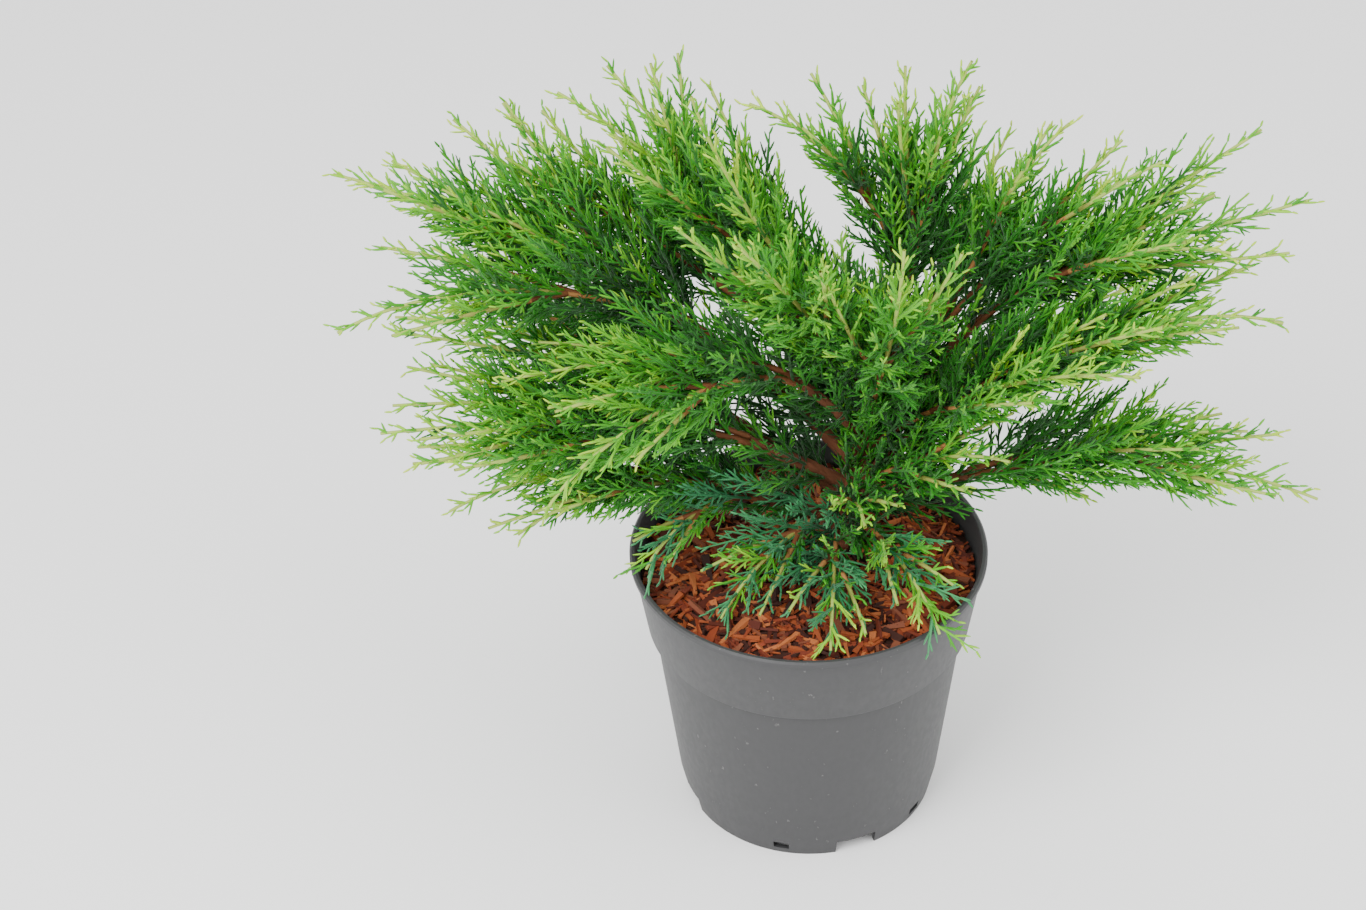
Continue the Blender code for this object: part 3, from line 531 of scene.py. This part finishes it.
# Each mass has the bough that carries it, or its own height and rise on the
# trunk, then the place of its tip and its rise there.
MASSES = {
    "left_low_tip": ("bough_left_low", (-0.155, -0.050, 0.217), -30),
    "left_low_reach": ("bough_left_low", (-0.192, -0.040, 0.225), -25),
    "left_low_hang": ("bough_left_low", (-0.088, -0.040, 0.185), -55),
    "left_back_reach": ("bough_left_back", (-0.233, 0.080, 0.270), -5),
    "left_back_low": ("bough_left_back", (-0.150, 0.150, 0.240), -10),
    "left_mid_reach": ("bough_left_mid", (-0.216, -0.040, 0.295), 5),
    "left_mid_fan": ("bough_left_mid", (-0.221, -0.055, 0.288), 5),
    "left_mid_under": ("bough_left_mid", (-0.204, -0.065, 0.276), 10),
    "left_high_reach": ("bough_left_high", (-0.251, 0.050, 0.381), 12),
    "left_high_droop": ("bough_left_high", (-0.242, -0.030, 0.334), -25),
    "left_high_rise": ("bough_left_high", (-0.186, 0.060, 0.408), 40),
    "left_crest_reach": ("bough_left_crest", (-0.160, 0.075, 0.410), 60),
    "left_crest_tip": ("bough_left_crest", (-0.081, 0.060, 0.440), 75),
    "crest_lean": ("bough_crest", (-0.030, 0.040, 0.427), 20),
    "crest_left": ("bough_crest", (0.049, 0.040, 0.448), 85),
    "crest_tip": ("bough_crest", (0.081, 0.022, 0.460), 65),
    "right_crest_tip": ("bough_right_crest", (0.132, 0.030, 0.420), 45),
    "right_crest_reach": ("bough_right_crest", (0.179, 0.020, 0.403), 30),
    "right_high_reach": ("bough_right_high", (0.259, 0.040, 0.368), 18),
    "right_high_under": ("bough_right_high", (0.215, 0.000, 0.361), -8),
    "right_mid_reach": ("bough_right_mid", (0.246, 0.000, 0.318), -18),
    "right_mid_under": ("bough_right_mid", (0.210, -0.030, 0.339), 8),
    "right_low_reach": ("bough_right_low", (0.270, -0.030, 0.226), -20),
    "right_low_rise": ("bough_right_low", (0.233, -0.010, 0.256), 5),
    "right_low_under": ("bough_right_low", (0.153, 0.020, 0.188), -35),
    "back_left_low": ("bough_back_left", (-0.100, 0.175, 0.296), 5),
    "back_left_high": ("bough_back_left", (-0.060, 0.130, 0.360), 50),
    "back_right_low": ("bough_back_right", (0.110, 0.175, 0.300), 10),
    "back_right_high": ("bough_back_right", (0.110, 0.120, 0.365), 50),
    "back_low": ((0.192, 30), (0.020, 0.195, 0.250), -10),
    "back_right_reach": ((0.194, 32), (0.200, 0.130, 0.262), -5),
    "over_hang": ("bough_left_over", (-0.134, -0.090, 0.264), -50),
    "over_level": ("bough_left_over", (-0.158, -0.040, 0.310), -5),
    "heart_reach": ((0.241, 60), (-0.129, 0.050, 0.429), 30),
    "heart_tip": ((0.249, 68), (-0.059, 0.030, 0.437), 75),
    "front_lean": ((0.240, 66), (-0.034, -0.080, 0.418), 50),
    "front_tip": ((0.229, 64), (0.046, -0.070, 0.408), 80),
    "right_front": ((0.216, 52), (0.164, -0.070, 0.333), 15),
    "right_front_low": ((0.198, 36), (0.105, -0.045, 0.262), 10),
    "front_low": ((0.190, 34), (0.030, -0.062, 0.232), 10),
    "skirt_left": ((0.183, 20), (-0.047, -0.060, 0.167), -45),
    "skirt_front": ((0.172, 20), (0.012, -0.088, 0.169), -50),
    "skirt_right": ((0.180, 24), (0.070, -0.078, 0.172), -45),
}


def heading(azimuth, rise):
    return Vector((math.cos(azimuth) * math.cos(rise),
                   math.sin(azimuth) * math.cos(rise), math.sin(rise)))


def trunk_share(height):
    return (height - TRUNK_FOOT.z) / (TRUNK_TIP.z - TRUNK_FOOT.z)


def trunk_centre(height):
    share = trunk_share(height)
    return TRUNK_FOOT.lerp(TRUNK_TIP, share) + TRUNK_BOW * math.sin(math.pi * share)


def trunk_radius(height):
    flare = FLARE * math.exp(-(height - TRUNK_FOOT.z) / FLARE_HEIGHT)
    return TRUNK_FOOT_RADIUS + (TRUNK_TIP_RADIUS - TRUNK_FOOT_RADIUS) * trunk_share(height) + flare


def square_to(direction):
    """Two directions at right angles to one and to each other."""
    across = direction.cross(Vector((0, 0, 1)))
    if across.length < NEARLY_UPRIGHT:
        across = direction.cross(Vector((0, 1, 0)))
    across.normalize()
    return across, direction.cross(across).normalized()


def carried_by(bough):
    return [name for name, row in MASSES.items() if row[0] == bough]


def bough_curve(bough, fineness=1):
    """A bough's centre line with fineness points for each of the solid's, and its way at the end."""
    height, rise, end = BOUGHS[bough]
    start, end = trunk_centre(height), Vector(end)
    run = end - start
    lead = start + heading(math.atan2(run.y, run.x), math.radians(rise)) * run.length * BOUGH_LEAD
    follow = end - (end - lead).normalized() * run.length * BOUGH_FOLLOW
    points = interpolate_bezier(start, lead, follow, end, BOUGH_STEPS * fineness + 1)
    points = points[:BOUGH_KEPT * fineness + 1]
    return points, (points[-1] - points[-1 - fineness]).normalized()


def ridged_tube(points, radii, seed, sides):
    """Places and faces of a limb with lengthways ridges that wander and break."""
    rng = random.Random(seed)
    phase = rng.uniform(0, 2 * math.pi)
    places, faces = [], []
    for k, (point, radius) in enumerate(zip(points, radii)):
        facing = (points[min(k + 1, len(points) - 1)] - points[max(k - 1, 0)]).normalized()
        across, up = square_to(facing)
        for side in range(sides):
            turn = 2 * math.pi * side / sides
            ridge = (math.sin(RIDGES * turn + phase + RIDGE_DRIFT * k)
                     + rng.uniform(-RIDGE_BREAKS, RIDGE_BREAKS))
            places.append(point + (across * math.cos(turn) + up * math.sin(turn))
                          * radius * (1 + RIDGE_DEPTH * ridge))
    for k in range(len(points) - 1):
        for side in range(sides):
            after = (side + 1) % sides
            faces.append((k * sides + side, k * sides + after, (k + 1) * sides + after,
                          (k + 1) * sides + side))
    faces.append(tuple(range((len(points) - 1) * sides, len(points) * sides)))
    return places, faces


def trunk_tube():
    rise = TRUNK_TIP.z - TRUNK_FOOT.z
    heights = [TRUNK_FOOT.z + rise * k / TRUNK_STEPS for k in range(TRUNK_STEPS + 1)]
    return ridged_tube([trunk_centre(h) for h in heights], [trunk_radius(h) for h in heights],
                       BARK_SEED, TRUNK_SIDES)


def bough_tube(bough, seed):
    """A bough is as thick at its end as the masses that it carries need together."""
    points = bough_curve(bough, BOUGH_FINENESS)[0]
    end = SHOOT_RADIUS * math.sqrt(len(carried_by(bough)))
    foot = end * BOUGH_TAPER
    last = len(points) - 1
    radii = [foot + (end - foot) * k / last for k in range(last + 1)]
    return ridged_tube(points, radii, seed, BOUGH_SIDES)


def add_wood():
    limbs = [trunk_tube()]
    for number, bough in enumerate(BOUGHS):
        limbs.append(bough_tube(bough, BARK_SEED + 1 + number))
    places, faces = [], []
    for limb_places, limb_faces in limbs:
        base = len(places)
        places.extend(limb_places)
        faces.extend(tuple(base + c for c in face) for face in limb_faces)
    mesh = bpy.data.meshes.new("wood")
    mesh.from_pydata(places, [], faces)
    mesh.materials.append(speckled("bark", BARK_BROWN, BARK_GREY, BARK_SCALE, BARK_STRETCH,
                                   BARK_RELIEF, BARK_ROUGHNESS))
    add_piece("wood", mesh, ["trunk"] + list(BOUGHS))


add_wood()


# The foliage: each mass is a leader with side twigs in a spiral, each of them
# a flat spray of cord-like shoots covered in scale leaves. Leaders are brown at
# the foot, twigs and shoots green, and the newest, at the tips, yellow-green.
# The first, darkest greens are partly older growth and partly painted shade: they go to the twigs deep
# inside the crown and the roots of the leaders.
TONES = [from_display(*c) for c in (
    (14, 70, 10), (22, 94, 10), (34, 120, 6), (58, 146, 4), (92, 170, 6), (132, 190, 14),
    (172, 210, 38), (188, 214, 60), (32, 112, 64), (52, 136, 80))]
OUTER_TONE = 7                  # the newest growth; the tones after it are blue-green
BLUE_TONES = (8, 9)
BLUE_SHARE = 0.55
BLUE_MASSES = ("skirt_left", "skirt_front", "skirt_right", "left_low_hang")
TONE_SPREAD = 0.8               # of the twigs on one line
NEW_GROWTH = 0.62               # a twig's shoots past this share of it are a tone newer
SAME_SHARE = 0.6                # of the shoots, whose tone never strays from their twig's
LEAF_ROUGHNESS, LEAF_SHEEN = 0.55, 0.1
FOLIAGE_SEED = 46
CORD_RADIUS = 0.00072           # the widths below are multiples of it, from root to tip

# Where a mass leaves its bough or the trunk, and the handles of its curve.
FORK_OFFSET = 0.0023
FORK_TURNS = 24
FORK_TIE = 1e-9
FIT_GAP = 0.0003
STEM_LEAD, STEM_FOLLOW = 0.3, 0.33
STEM_POINTS = 49

# Twigs on a leader.
TWIG_SPACING = 0.0054
TWIG_SPACINGS = (0.8, 1.2)      # least and greatest factor on each, drawn at random
TWIG_FIRST = 0.03
TWIG_FIRST_ON_TRUNK = 0.06
TIP_BARE = 0.003
TWIG_SHORTEST = 0.008
TWIG_LONGEST = 0.074
SKIRT_SHORTEST = 0.024
TWIG_RATIO = 0.48
TWIG_LENGTHS = (0.6, 1.0)       # the same for its length
TWIG_TRIES = (1.0, 0.6, 0.35)   # lengths tried in turn where the pot is in the way
SLIM_TIP = 0.080                # within this of a leader's tip its twigs shorten faster
TWIG_LEAN = math.radians(34)
TWIG_LIFT = 0.18
TWIG_BEND = 0.16                # how far it turns towards its leader's way
TWIG_RISES = (-0.04, 0.10)
TWIG_WANDER = 0.04
TWIG_ROLL = 0.9
TWIG_SIDES = 4
TWIG_WIDTHS = (1.45, 1.3, 1.25, 1.1, 1.05, 0.9, 0.4)
SPIRAL = math.radians(137.5)
# The darker tones at a leader's root are partly older growth and partly painted shade inside the crown.
MASS_TONES = (1.6, 5.3)         # at a leader's root and at its tip

# Shoots on a twig, and sprigs on a shoot.
SHOOT_SPACING = 0.0034
SHOOT_STRETCH = 0.9             # share of the twig that counts towards their number
SHOOT_FROM, SHOOT_TO = 0.10, 0.985
SHOOT_SHIFT = 0.01
SHOOT_LOWEST, SHOOT_HIGHEST = 0.05, 0.99
SHOOT_SPIN = 0.45
SHOOT_LEAN = math.radians(33)
SHOOT_LEANS = (0.8, 1.15)
SHOOT_SHORTEST = 0.0035
SHOOT_LONGEST = 0.024
SHOOT_RATIO = 0.46
SHOOT_LENGTHS = (0.75, 1.1)
SHOOT_BEND = 0.20
SHOOT_WANDER = 0.05
SHOOT_SIDES = 3
SHOOT_SHARES = (0, 0.35, 0.75, 1.0)
SHOOT_WIDTHS = (0.95, 1.0, 0.9, 0.35)
SPRIG_SPACING = 0.0034
SPRIG_FOOT = 0.004              # length of a shoot that bears none
SPRIG_FROM, SPRIG_EXTRA = 0.8, 0.9  # spacings before the first, and those added to their number
SPRIG_SPIN = 0.5
SPRIG_TURN = 1.3                # turn of the sprigs from one shoot to the next
SPRIG_LEAN = math.radians(36)
SPRIG_SHORTEST = 0.0026
SPRIG_RATIO = 0.30
SPRIG_LENGTHS = (0.8, 1.2)
SPRIG_BEND = 0.15
SPRIG_SHARES = (0, 0.6, 1.0)
SPRIG_WIDTHS = (0.85, 0.9, 0.35)

# Side leaders of a mass.
SIDE_LEADERS = 2
LEADER_FROM = (0.30, 0.48)
LEADER_LEAN = math.radians(23)
LEADER_TILT = 0.5
LEADER_BEND = 0.22
LEADER_RISES = (-0.02, 0.06)
LEADER_LENGTHS = (0.68, 0.84)
LEADER_TRIES = (1.0, 0.8, 0.6)
LEADER_POINTS = 25
LEADER_FIRST = 0.08
LEADER_LONGEST = TWIG_LONGEST * 0.6
LEADER_TONES = (2.0, 5.2)
TWIG_ROOM = 0.012               # room for twigs between a side leader and the solids' box

# Twigs on the boughs, and those round the trunk, in the plant's heart.
BOUGH_FIRST = 0.12
BOUGH_TWIGS = (0.040, 0.066)
# The boughs' twigs, deep in the crown, get the darkest greens: older growth with painted shade.
BOUGH_TONES_WITH_SHADE = (0.8, 3.0)
BOUGH_SPACING = 0.0056
HEART_GROUP = "foliage_front"
HEART_LOW = 0.186
HEART_POINTS = 25
HEART_TWIGS = (0.050, 0.066)
HEART_TONES = (2.4, 4.2)
HEART_SPACING = 0.0019

# The leaders' bark, from brown at the foot to green at the tip.
STEM_COLOURS = (from_display(118, 70, 40), from_display(176, 122, 70), from_display(146, 150, 70),
                from_display(158, 178, 80))
STEM_ROUGHNESS = 0.7
STEM_FOOT_RADIUS, STEM_TIP_RADIUS = 0.0019, 0.0008
STEM_TAPER = 0.8
STEM_RUNS = 12
STEM_SIDES = 6
STEM_GREENING = 4.4             # colours passed along a leader; the last one stays

# Room between the foliage and the pot: beside the rim, over it, inside it and
# over the mulch. Beside the pot, foliage may hang down to the lowest height.
BESIDE_RIM = 0.003
OVER_RIM = 0.002
INSIDE_RIM = 0.002
OVER_MULCH = 0.001
LOWEST = 0.02

UP = np.array([0.0, 0.0, 1.0])
ASIDE = np.array([0.0, 1.0, 0.0])   # in place of up, for a path that is nearly upright
SLANTED = np.array([0.2, 0.1, 1.0])     # crossed with a shoot's way, it gives its sprigs' side
UPRIGHT_ABOVE = 0.9
TINY = 1e-12

GROUPS = {
    "foliage_left_low": ("left_low_tip", "left_low_reach", "left_low_hang", "left_back_reach",
                         "left_back_low", "skirt_left"),
    "foliage_left_mid": ("left_mid_reach", "left_mid_fan", "left_mid_under", "over_hang", "over_level"),
    "foliage_left_high": ("left_high_reach", "left_high_droop", "left_high_rise"),
    "foliage_left_crest": ("left_crest_reach", "left_crest_tip", "heart_reach", "heart_tip"),
    "foliage_front": ("front_lean", "front_tip", "front_low", "skirt_front", "skirt_right"),
    "foliage_crest": ("crest_lean", "crest_left", "crest_tip", "right_crest_tip", "right_crest_reach"),
    "foliage_right_high": ("right_high_reach", "right_high_under", "right_mid_reach", "right_mid_under"),
    "foliage_right_low": ("right_low_reach", "right_low_rise", "right_low_under", "right_front",
                          "right_front_low"),
    "foliage_back": ("back_left_low", "back_left_high", "back_right_low", "back_right_high",
                     "back_low", "back_right_reach"),
}


def fork_starts(bough):
    """Where each mass starts at its bough's end: round it, each on the side it grows to."""
    points, facing = bough_curve(bough)
    across, up = square_to(facing)
    names = carried_by(bough)
    base = points[-1] + facing * FIT_GAP
    ways = {name: (Vector(MASSES[name][1]) - base).normalized() for name in names}
    middle = sum(ways.values(), Vector()) / len(names)
    best, starts = -1.0, {}
    for turn in range(FORK_TURNS):
        slots = []
        for k in range(len(names)):
            angle = 2 * math.pi * (k / len(names) + turn / FORK_TURNS)
            slots.append(across * math.cos(angle) + up * math.sin(angle))
        for order in itertools.permutations(slots):
            score = sum(slot.dot(ways[name] - middle) for slot, name in zip(order, names))
            if score > best + FORK_TIE:
                best = score
                starts = {name: base + slot * FORK_OFFSET for slot, name in zip(order, names)}
    return starts


FORKS = {}
for limb in BOUGHS:
    FORKS.update(fork_starts(limb))


def stem_curve(name):
    """The line of a mass's leader, from its bough or the trunk to its tip."""
    carrier, tip, nod = MASSES[name]
    tip = Vector(tip)
    if isinstance(carrier, str):
        start, facing = FORKS[name], bough_curve(carrier)[1]
    else:
        height, rise = carrier
        start = trunk_centre(height)
        facing = heading(math.atan2(tip.y - start.y, tip.x - start.x), math.radians(rise))
    run = tip - start
    lead = start + facing * run.length * STEM_LEAD
    follow = tip - heading(math.atan2(run.y, run.x), math.radians(nod)) * run.length * STEM_FOLLOW
    return np.array(interpolate_bezier(start, lead, follow, tip, STEM_POINTS))


def unit(v):
    return v / (np.linalg.norm(v, axis=-1, keepdims=True) + TINY)


def curved(roots, ways, bends, lengths, shares):
    """Paths from roots along ways that bend as they go."""
    t = np.asarray(shares)[None, :, None]
    return (roots[:, None] + ways[:, None] * t * lengths[:, None, None]
            + bends[:, None] * (t * t) * lengths[:, None, None])


def clear_of_pot(paths):
    """True for each path whose points all stay off the mulch, the wall and the rim."""
    out = np.hypot(paths[..., 0], paths[..., 1])
    over_pot = np.where(out > RIM_RADIUS - RIM_LIP - INSIDE_RIM, POT_HEIGHT + OVER_RIM,
                        BED_HEIGHTS[0] + OVER_MULCH)
    floor = np.where(out > RIM_RADIUS + BESIDE_RIM, LOWEST, over_pot)
    return (paths[..., 2] > floor).all(axis=-1)


def within_reach(path):
    """True where a path keeps inside the solids' box, with room for its own twigs."""
    low, high = np.array(CAD_BOX[0]) + TWIG_ROOM, np.array(CAD_BOX[1]) - TWIG_ROOM
    return bool(((path > low) & (path < high)).all())


class Foliage:
    """Collects one group's twigs, shoots and sprigs, as paths with their tones."""

    def __init__(self):
        self.twigs, self.shoots, self.sprigs = [], [], []

    def add_twig(self, rng, root, way, out, length, tone):
        """One side twig with its shoots and sprigs, lying roughly in a plane."""
        axis = unit(way * math.cos(TWIG_LEAN) + out * math.sin(TWIG_LEAN) + UP * TWIG_LIFT)
        bend = way * TWIG_BEND + UP * rng.uniform(*TWIG_RISES) + rng.normal(0, TWIG_WANDER, 3)
        shares = np.linspace(0, 1, len(TWIG_WIDTHS))
        path = curved(root[None], axis[None], bend[None], np.array([length]), shares)
        if not clear_of_pot(path[:, 1:])[0]:
            return False
        self.twigs.append((path, np.array([tone])))
        wide = unit(np.cross(way, out))
        roll = rng.uniform(-TWIG_ROLL, TWIG_ROLL)
        wide = unit(wide * math.cos(roll) + np.cross(axis, wide) * math.sin(roll))
        self.add_shoots(rng, root, axis, bend, wide, length, tone)
        return True

    def add_shoots(self, rng, root, axis, bend, wide, length, tone):
        """The shoots on both sides of a twig, shorter towards its tip."""
        count = max(2, int(length * SHOOT_STRETCH / SHOOT_SPACING))
        t = np.linspace(SHOOT_FROM, SHOOT_TO, count) + rng.normal(0, SHOOT_SHIFT, count)
        t = np.clip(t, SHOOT_LOWEST, SHOOT_HIGHEST)
        roots = root + axis * (t * length)[:, None] + bend * (t * t * length)[:, None]
        along = unit(axis + bend * 2 * t[:, None])
        side = np.where(np.arange(count) % 2 == 0, 1.0, -1.0)
        lift = np.cross(along, wide)
        spin = rng.normal(0, SHOOT_SPIN, count)
        away = wide * (side * np.cos(spin))[:, None] + lift * np.sin(spin)[:, None]
        lean = SHOOT_LEAN * rng.uniform(*SHOOT_LEANS, count)
        ways = unit(along * np.cos(lean)[:, None] + away * np.sin(lean)[:, None])
        rest = (1 - t) * length
        lengths = np.minimum(SHOOT_LONGEST, SHOOT_SHORTEST + SHOOT_RATIO * rest)
        lengths = lengths * rng.uniform(*SHOOT_LENGTHS, count)
        bends = along * SHOOT_BEND + rng.normal(0, SHOOT_WANDER, (count, 3))
        paths = curved(roots, ways, bends, lengths, SHOOT_SHARES)
        keep = clear_of_pot(paths)
        if tone <= OUTER_TONE:
            stray = rng.integers(-1, 2, count) * (rng.random(count) > SAME_SHARE)
            tones = np.clip(tone + (t > NEW_GROWTH) + stray, 0, OUTER_TONE)
        else:
            tones = np.full(count, tone)
        self.shoots.append((paths[keep], tones[keep]))
        self.add_sprigs(rng, roots[keep], ways[keep], bends[keep], lengths[keep], tones[keep])

    def add_sprigs(self, rng, roots, ways, bends, lengths, tones):
        """The sprigs of a twig's shoots, all at once."""
        counts = np.maximum(0, ((lengths - SPRIG_FOOT) / SPRIG_SPACING).astype(int))
        total = int(counts.sum())
        if not total:
            return
        owner = np.repeat(np.arange(len(roots)), counts)
        order = np.concatenate([np.arange(c) for c in counts])
        t = (order + SPRIG_FROM) / (counts[owner] + SPRIG_EXTRA)
        length = lengths[owner]
        place = (roots[owner] + ways[owner] * (t * length)[:, None]
                 + bends[owner] * (t * t * length)[:, None])
        along = unit(ways[owner] + bends[owner] * 2 * t[:, None])
        across = unit(np.cross(along, SLANTED))
        lift = np.cross(along, across)
        turn = order * math.pi + rng.normal(0, SPRIG_SPIN, total) + owner * SPRIG_TURN
        away = across * np.cos(turn)[:, None] + lift * np.sin(turn)[:, None]
        way = unit(along * math.cos(SPRIG_LEAN) + away * math.sin(SPRIG_LEAN))
        sizes = (SPRIG_SHORTEST + SPRIG_RATIO * (1 - t) * length) * rng.uniform(*SPRIG_LENGTHS, total)
        paths = curved(place, way, along * SPRIG_BEND, sizes, SPRIG_SHARES)
        keep = clear_of_pot(paths)
        self.sprigs.append((paths[keep], tones[owner][keep]))

    def batches(self):
        made = []
        for kind, widths, sides in ((self.twigs, TWIG_WIDTHS, TWIG_SIDES),
                                    (self.shoots, SHOOT_WIDTHS, SHOOT_SIDES),
                                    (self.sprigs, SPRIG_WIDTHS, SHOOT_SIDES)):
            paths = np.concatenate([p for p, tones in kind])
            tones = np.concatenate([tones for p, tones in kind])
            radii = np.tile(np.array(widths) * CORD_RADIUS, (len(paths), 1))
            made.append((paths, radii, sides, tones))
        return made


def spiral_out(way, turn):
    across, up = square_to(Vector(way))
    return np.array(across * math.cos(turn) + up * math.sin(turn))


def clothe(foliage, rng, line, first, lengths, tones, blue=False, spacing=TWIG_SPACING):
    """Side twigs in a spiral up a line, shorter and newer towards its tip."""
    runs = np.linalg.norm(np.diff(line, axis=0), axis=1)
    reach = np.concatenate([[0.0], np.cumsum(runs)])
    total = reach[-1]
    along, turn = total * first, rng.uniform(0, 2 * math.pi)
    while along < total - TIP_BARE:
        k = max(1, min(int(np.searchsorted(reach, along)), len(line) - 1))
        way = unit(line[k] - line[k - 1])
        root = line[k - 1] + (line[k] - line[k - 1]) * ((along - reach[k - 1]) / runs[k - 1])
        rest = total - along
        length = min(lengths[1], lengths[0] + TWIG_RATIO * rest * min(1.0, rest / SLIM_TIP))
        length *= rng.uniform(*TWIG_LENGTHS)
        tone = tones[0] + (tones[1] - tones[0]) * along / total + rng.normal(0, TONE_SPREAD)
        tone = int(np.clip(tone, 0, OUTER_TONE - 1))
        if blue and rng.random() < BLUE_SHARE:
            tone = int(rng.choice(BLUE_TONES))
        out = spiral_out(way, turn)
        for shrink in TWIG_TRIES:
            if foliage.add_twig(rng, root, way, out, length * shrink, tone):
                break
        turn += SPIRAL
        along += spacing * rng.uniform(*TWIG_SPACINGS)


def side_leaders(rng, line):
    """Long side shoots of a mass, which leave its stem either side and reach nearly as far."""
    for number in range(SIDE_LEADERS):
        k = int(len(line) * rng.uniform(*LEADER_FROM))
        way = unit(line[k + 1] - line[k])
        across, up = square_to(Vector(way))
        side = 1.0 if number % 2 else -1.0
        out = unit(np.array(across) * side + np.array(up) * rng.uniform(-LEADER_TILT, LEADER_TILT))
        axis = unit(way * math.cos(LEADER_LEAN) + out * math.sin(LEADER_LEAN))
        rest = np.linalg.norm(np.diff(line[k:], axis=0), axis=1).sum()
        bend = unit(line[-1] - line[-4]) * LEADER_BEND + UP * rng.uniform(*LEADER_RISES)
        length = rest * rng.uniform(*LEADER_LENGTHS)
        for shrink in LEADER_TRIES:
            path = curved(line[k][None], axis[None], bend[None], np.array([length * shrink]),
                          np.linspace(0, 1, LEADER_POINTS))
            if clear_of_pot(path[:, 1:])[0] and within_reach(path):
                yield path[0]
                break


def stem_batches(lines):
    """Leaders as short runs, brown at the foot, tan, then green at the tip."""
    made = []
    for line in lines:
        points = line[np.linspace(0, len(line) - 1, STEM_RUNS * 2 + 1).astype(int)]
        shares = np.linspace(0, 1, len(points)) ** STEM_TAPER
        radii = STEM_FOOT_RADIUS + (STEM_TIP_RADIUS - STEM_FOOT_RADIUS) * shares
        for k in range(STEM_RUNS):
            colour = min(len(STEM_COLOURS) - 1, int(STEM_GREENING * (k + 0.5) / STEM_RUNS))
            run = slice(2 * k, 2 * k + 3)
            made.append((points[None, run], radii[None, run], STEM_SIDES, np.array([colour])))
    return made


def tube_mesh(batches, name, finishes):
    """One mesh of tapering tubes, from batches of (paths, radii, sides, finish of each tube)."""
    places, corners, marks, first = [], [], [], 0
    for paths, radii, sides, marked in batches:
        count, steps = paths.shape[:2]
        facing = unit(np.gradient(paths, axis=1))
        beside = np.tile(UP, (count, 1))
        beside[np.abs(facing[:, 0, 2]) > UPRIGHT_ABOVE] = ASIDE
        across = unit(np.cross(facing, beside[:, None, :]))
        up = np.cross(facing, across)
        turn = 2 * math.pi * np.arange(sides) / sides
        ring = (across[:, :, None] * np.cos(turn)[:, None] + up[:, :, None] * np.sin(turn)[:, None])
        places.append((paths[:, :, None] + ring * radii[:, :, None, None]).reshape(-1, 3))
        index = first + np.arange(count * steps * sides).reshape(count, steps, sides)
        after = np.roll(index, -1, axis=2)
        quads = np.stack([index[:, :-1], after[:, :-1], after[:, 1:], index[:, 1:]], axis=-1)
        corners.append(quads.reshape(-1))
        marks.append(np.repeat(marked, (steps - 1) * sides))
        first += count * steps * sides
    places, corners, marks = np.concatenate(places), np.concatenate(corners), np.concatenate(marks)
    mesh = bpy.data.meshes.new(name)
    faces = len(corners) // 4
    mesh.vertices.add(len(places))
    mesh.vertices.foreach_set("co", places.astype(np.float32).ravel())
    mesh.loops.add(len(corners))
    mesh.loops.foreach_set("vertex_index", corners.astype(np.int32))
    mesh.polygons.add(faces)
    mesh.polygons.foreach_set("loop_start", np.arange(0, len(corners), 4, dtype=np.int32))
    mesh.polygons.foreach_set("loop_total", np.full(faces, 4, dtype=np.int32))
    mesh.polygons.foreach_set("material_index", marks.astype(np.int32))
    mesh.update(calc_edges=True)
    mesh.shade_smooth()
    for finish in finishes:
        mesh.materials.append(finish)
    return mesh


def grow_mass(foliage, rng, name):
    """Clothe a mass's leader and side leaders, and give back their lines."""
    blue = name in BLUE_MASSES
    first = TWIG_FIRST if isinstance(MASSES[name][0], str) else TWIG_FIRST_ON_TRUNK
    shortest = SKIRT_SHORTEST if blue else TWIG_SHORTEST
    lines = [stem_curve(name)]
    clothe(foliage, rng, lines[0], first, (shortest, TWIG_LONGEST), MASS_TONES, blue)
    for leader in side_leaders(rng, lines[0]):
        lines.append(leader)
        clothe(foliage, rng, leader, LEADER_FIRST, (TWIG_SHORTEST, LEADER_LONGEST), LEADER_TONES, blue)
    return lines


def add_foliage():
    greens = [plain("green_%d" % k, colour, LEAF_ROUGHNESS, LEAF_SHEEN) for k, colour in enumerate(TONES)]
    stems = [plain("shoot_bark_%d" % k, colour, STEM_ROUGHNESS) for k, colour in enumerate(STEM_COLOURS)]
    clothed = set()
    for number, (group, names) in enumerate(GROUPS.items()):
        rng = np.random.default_rng(FOLIAGE_SEED + number)
        foliage = Foliage()
        lines = []
        for name in names:
            lines.extend(grow_mass(foliage, rng, name))
            carrier = MASSES[name][0]
            if carrier in BOUGHS and carrier not in clothed:
                clothed.add(carrier)
                bough = np.array(bough_curve(carrier, BOUGH_FINENESS)[0])
                clothe(foliage, rng, bough, BOUGH_FIRST, BOUGH_TWIGS, BOUGH_TONES_WITH_SHADE, spacing=BOUGH_SPACING)
        if group == HEART_GROUP:
            heights = np.linspace(HEART_LOW, TRUNK_TIP.z, HEART_POINTS)
            trunk = np.array([trunk_centre(height) for height in heights])
            clothe(foliage, rng, trunk, 0.0, HEART_TWIGS, HEART_TONES, spacing=HEART_SPACING)
        add_piece(group, tube_mesh(foliage.batches(), group, greens), names)
        leaders = tube_mesh(stem_batches(lines), group + "_stems", stems)
        add_piece(group + "_stems", leaders)


add_foliage()

sizes = [[list(corner) for corner in box] for box in (CAD_BOX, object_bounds())]
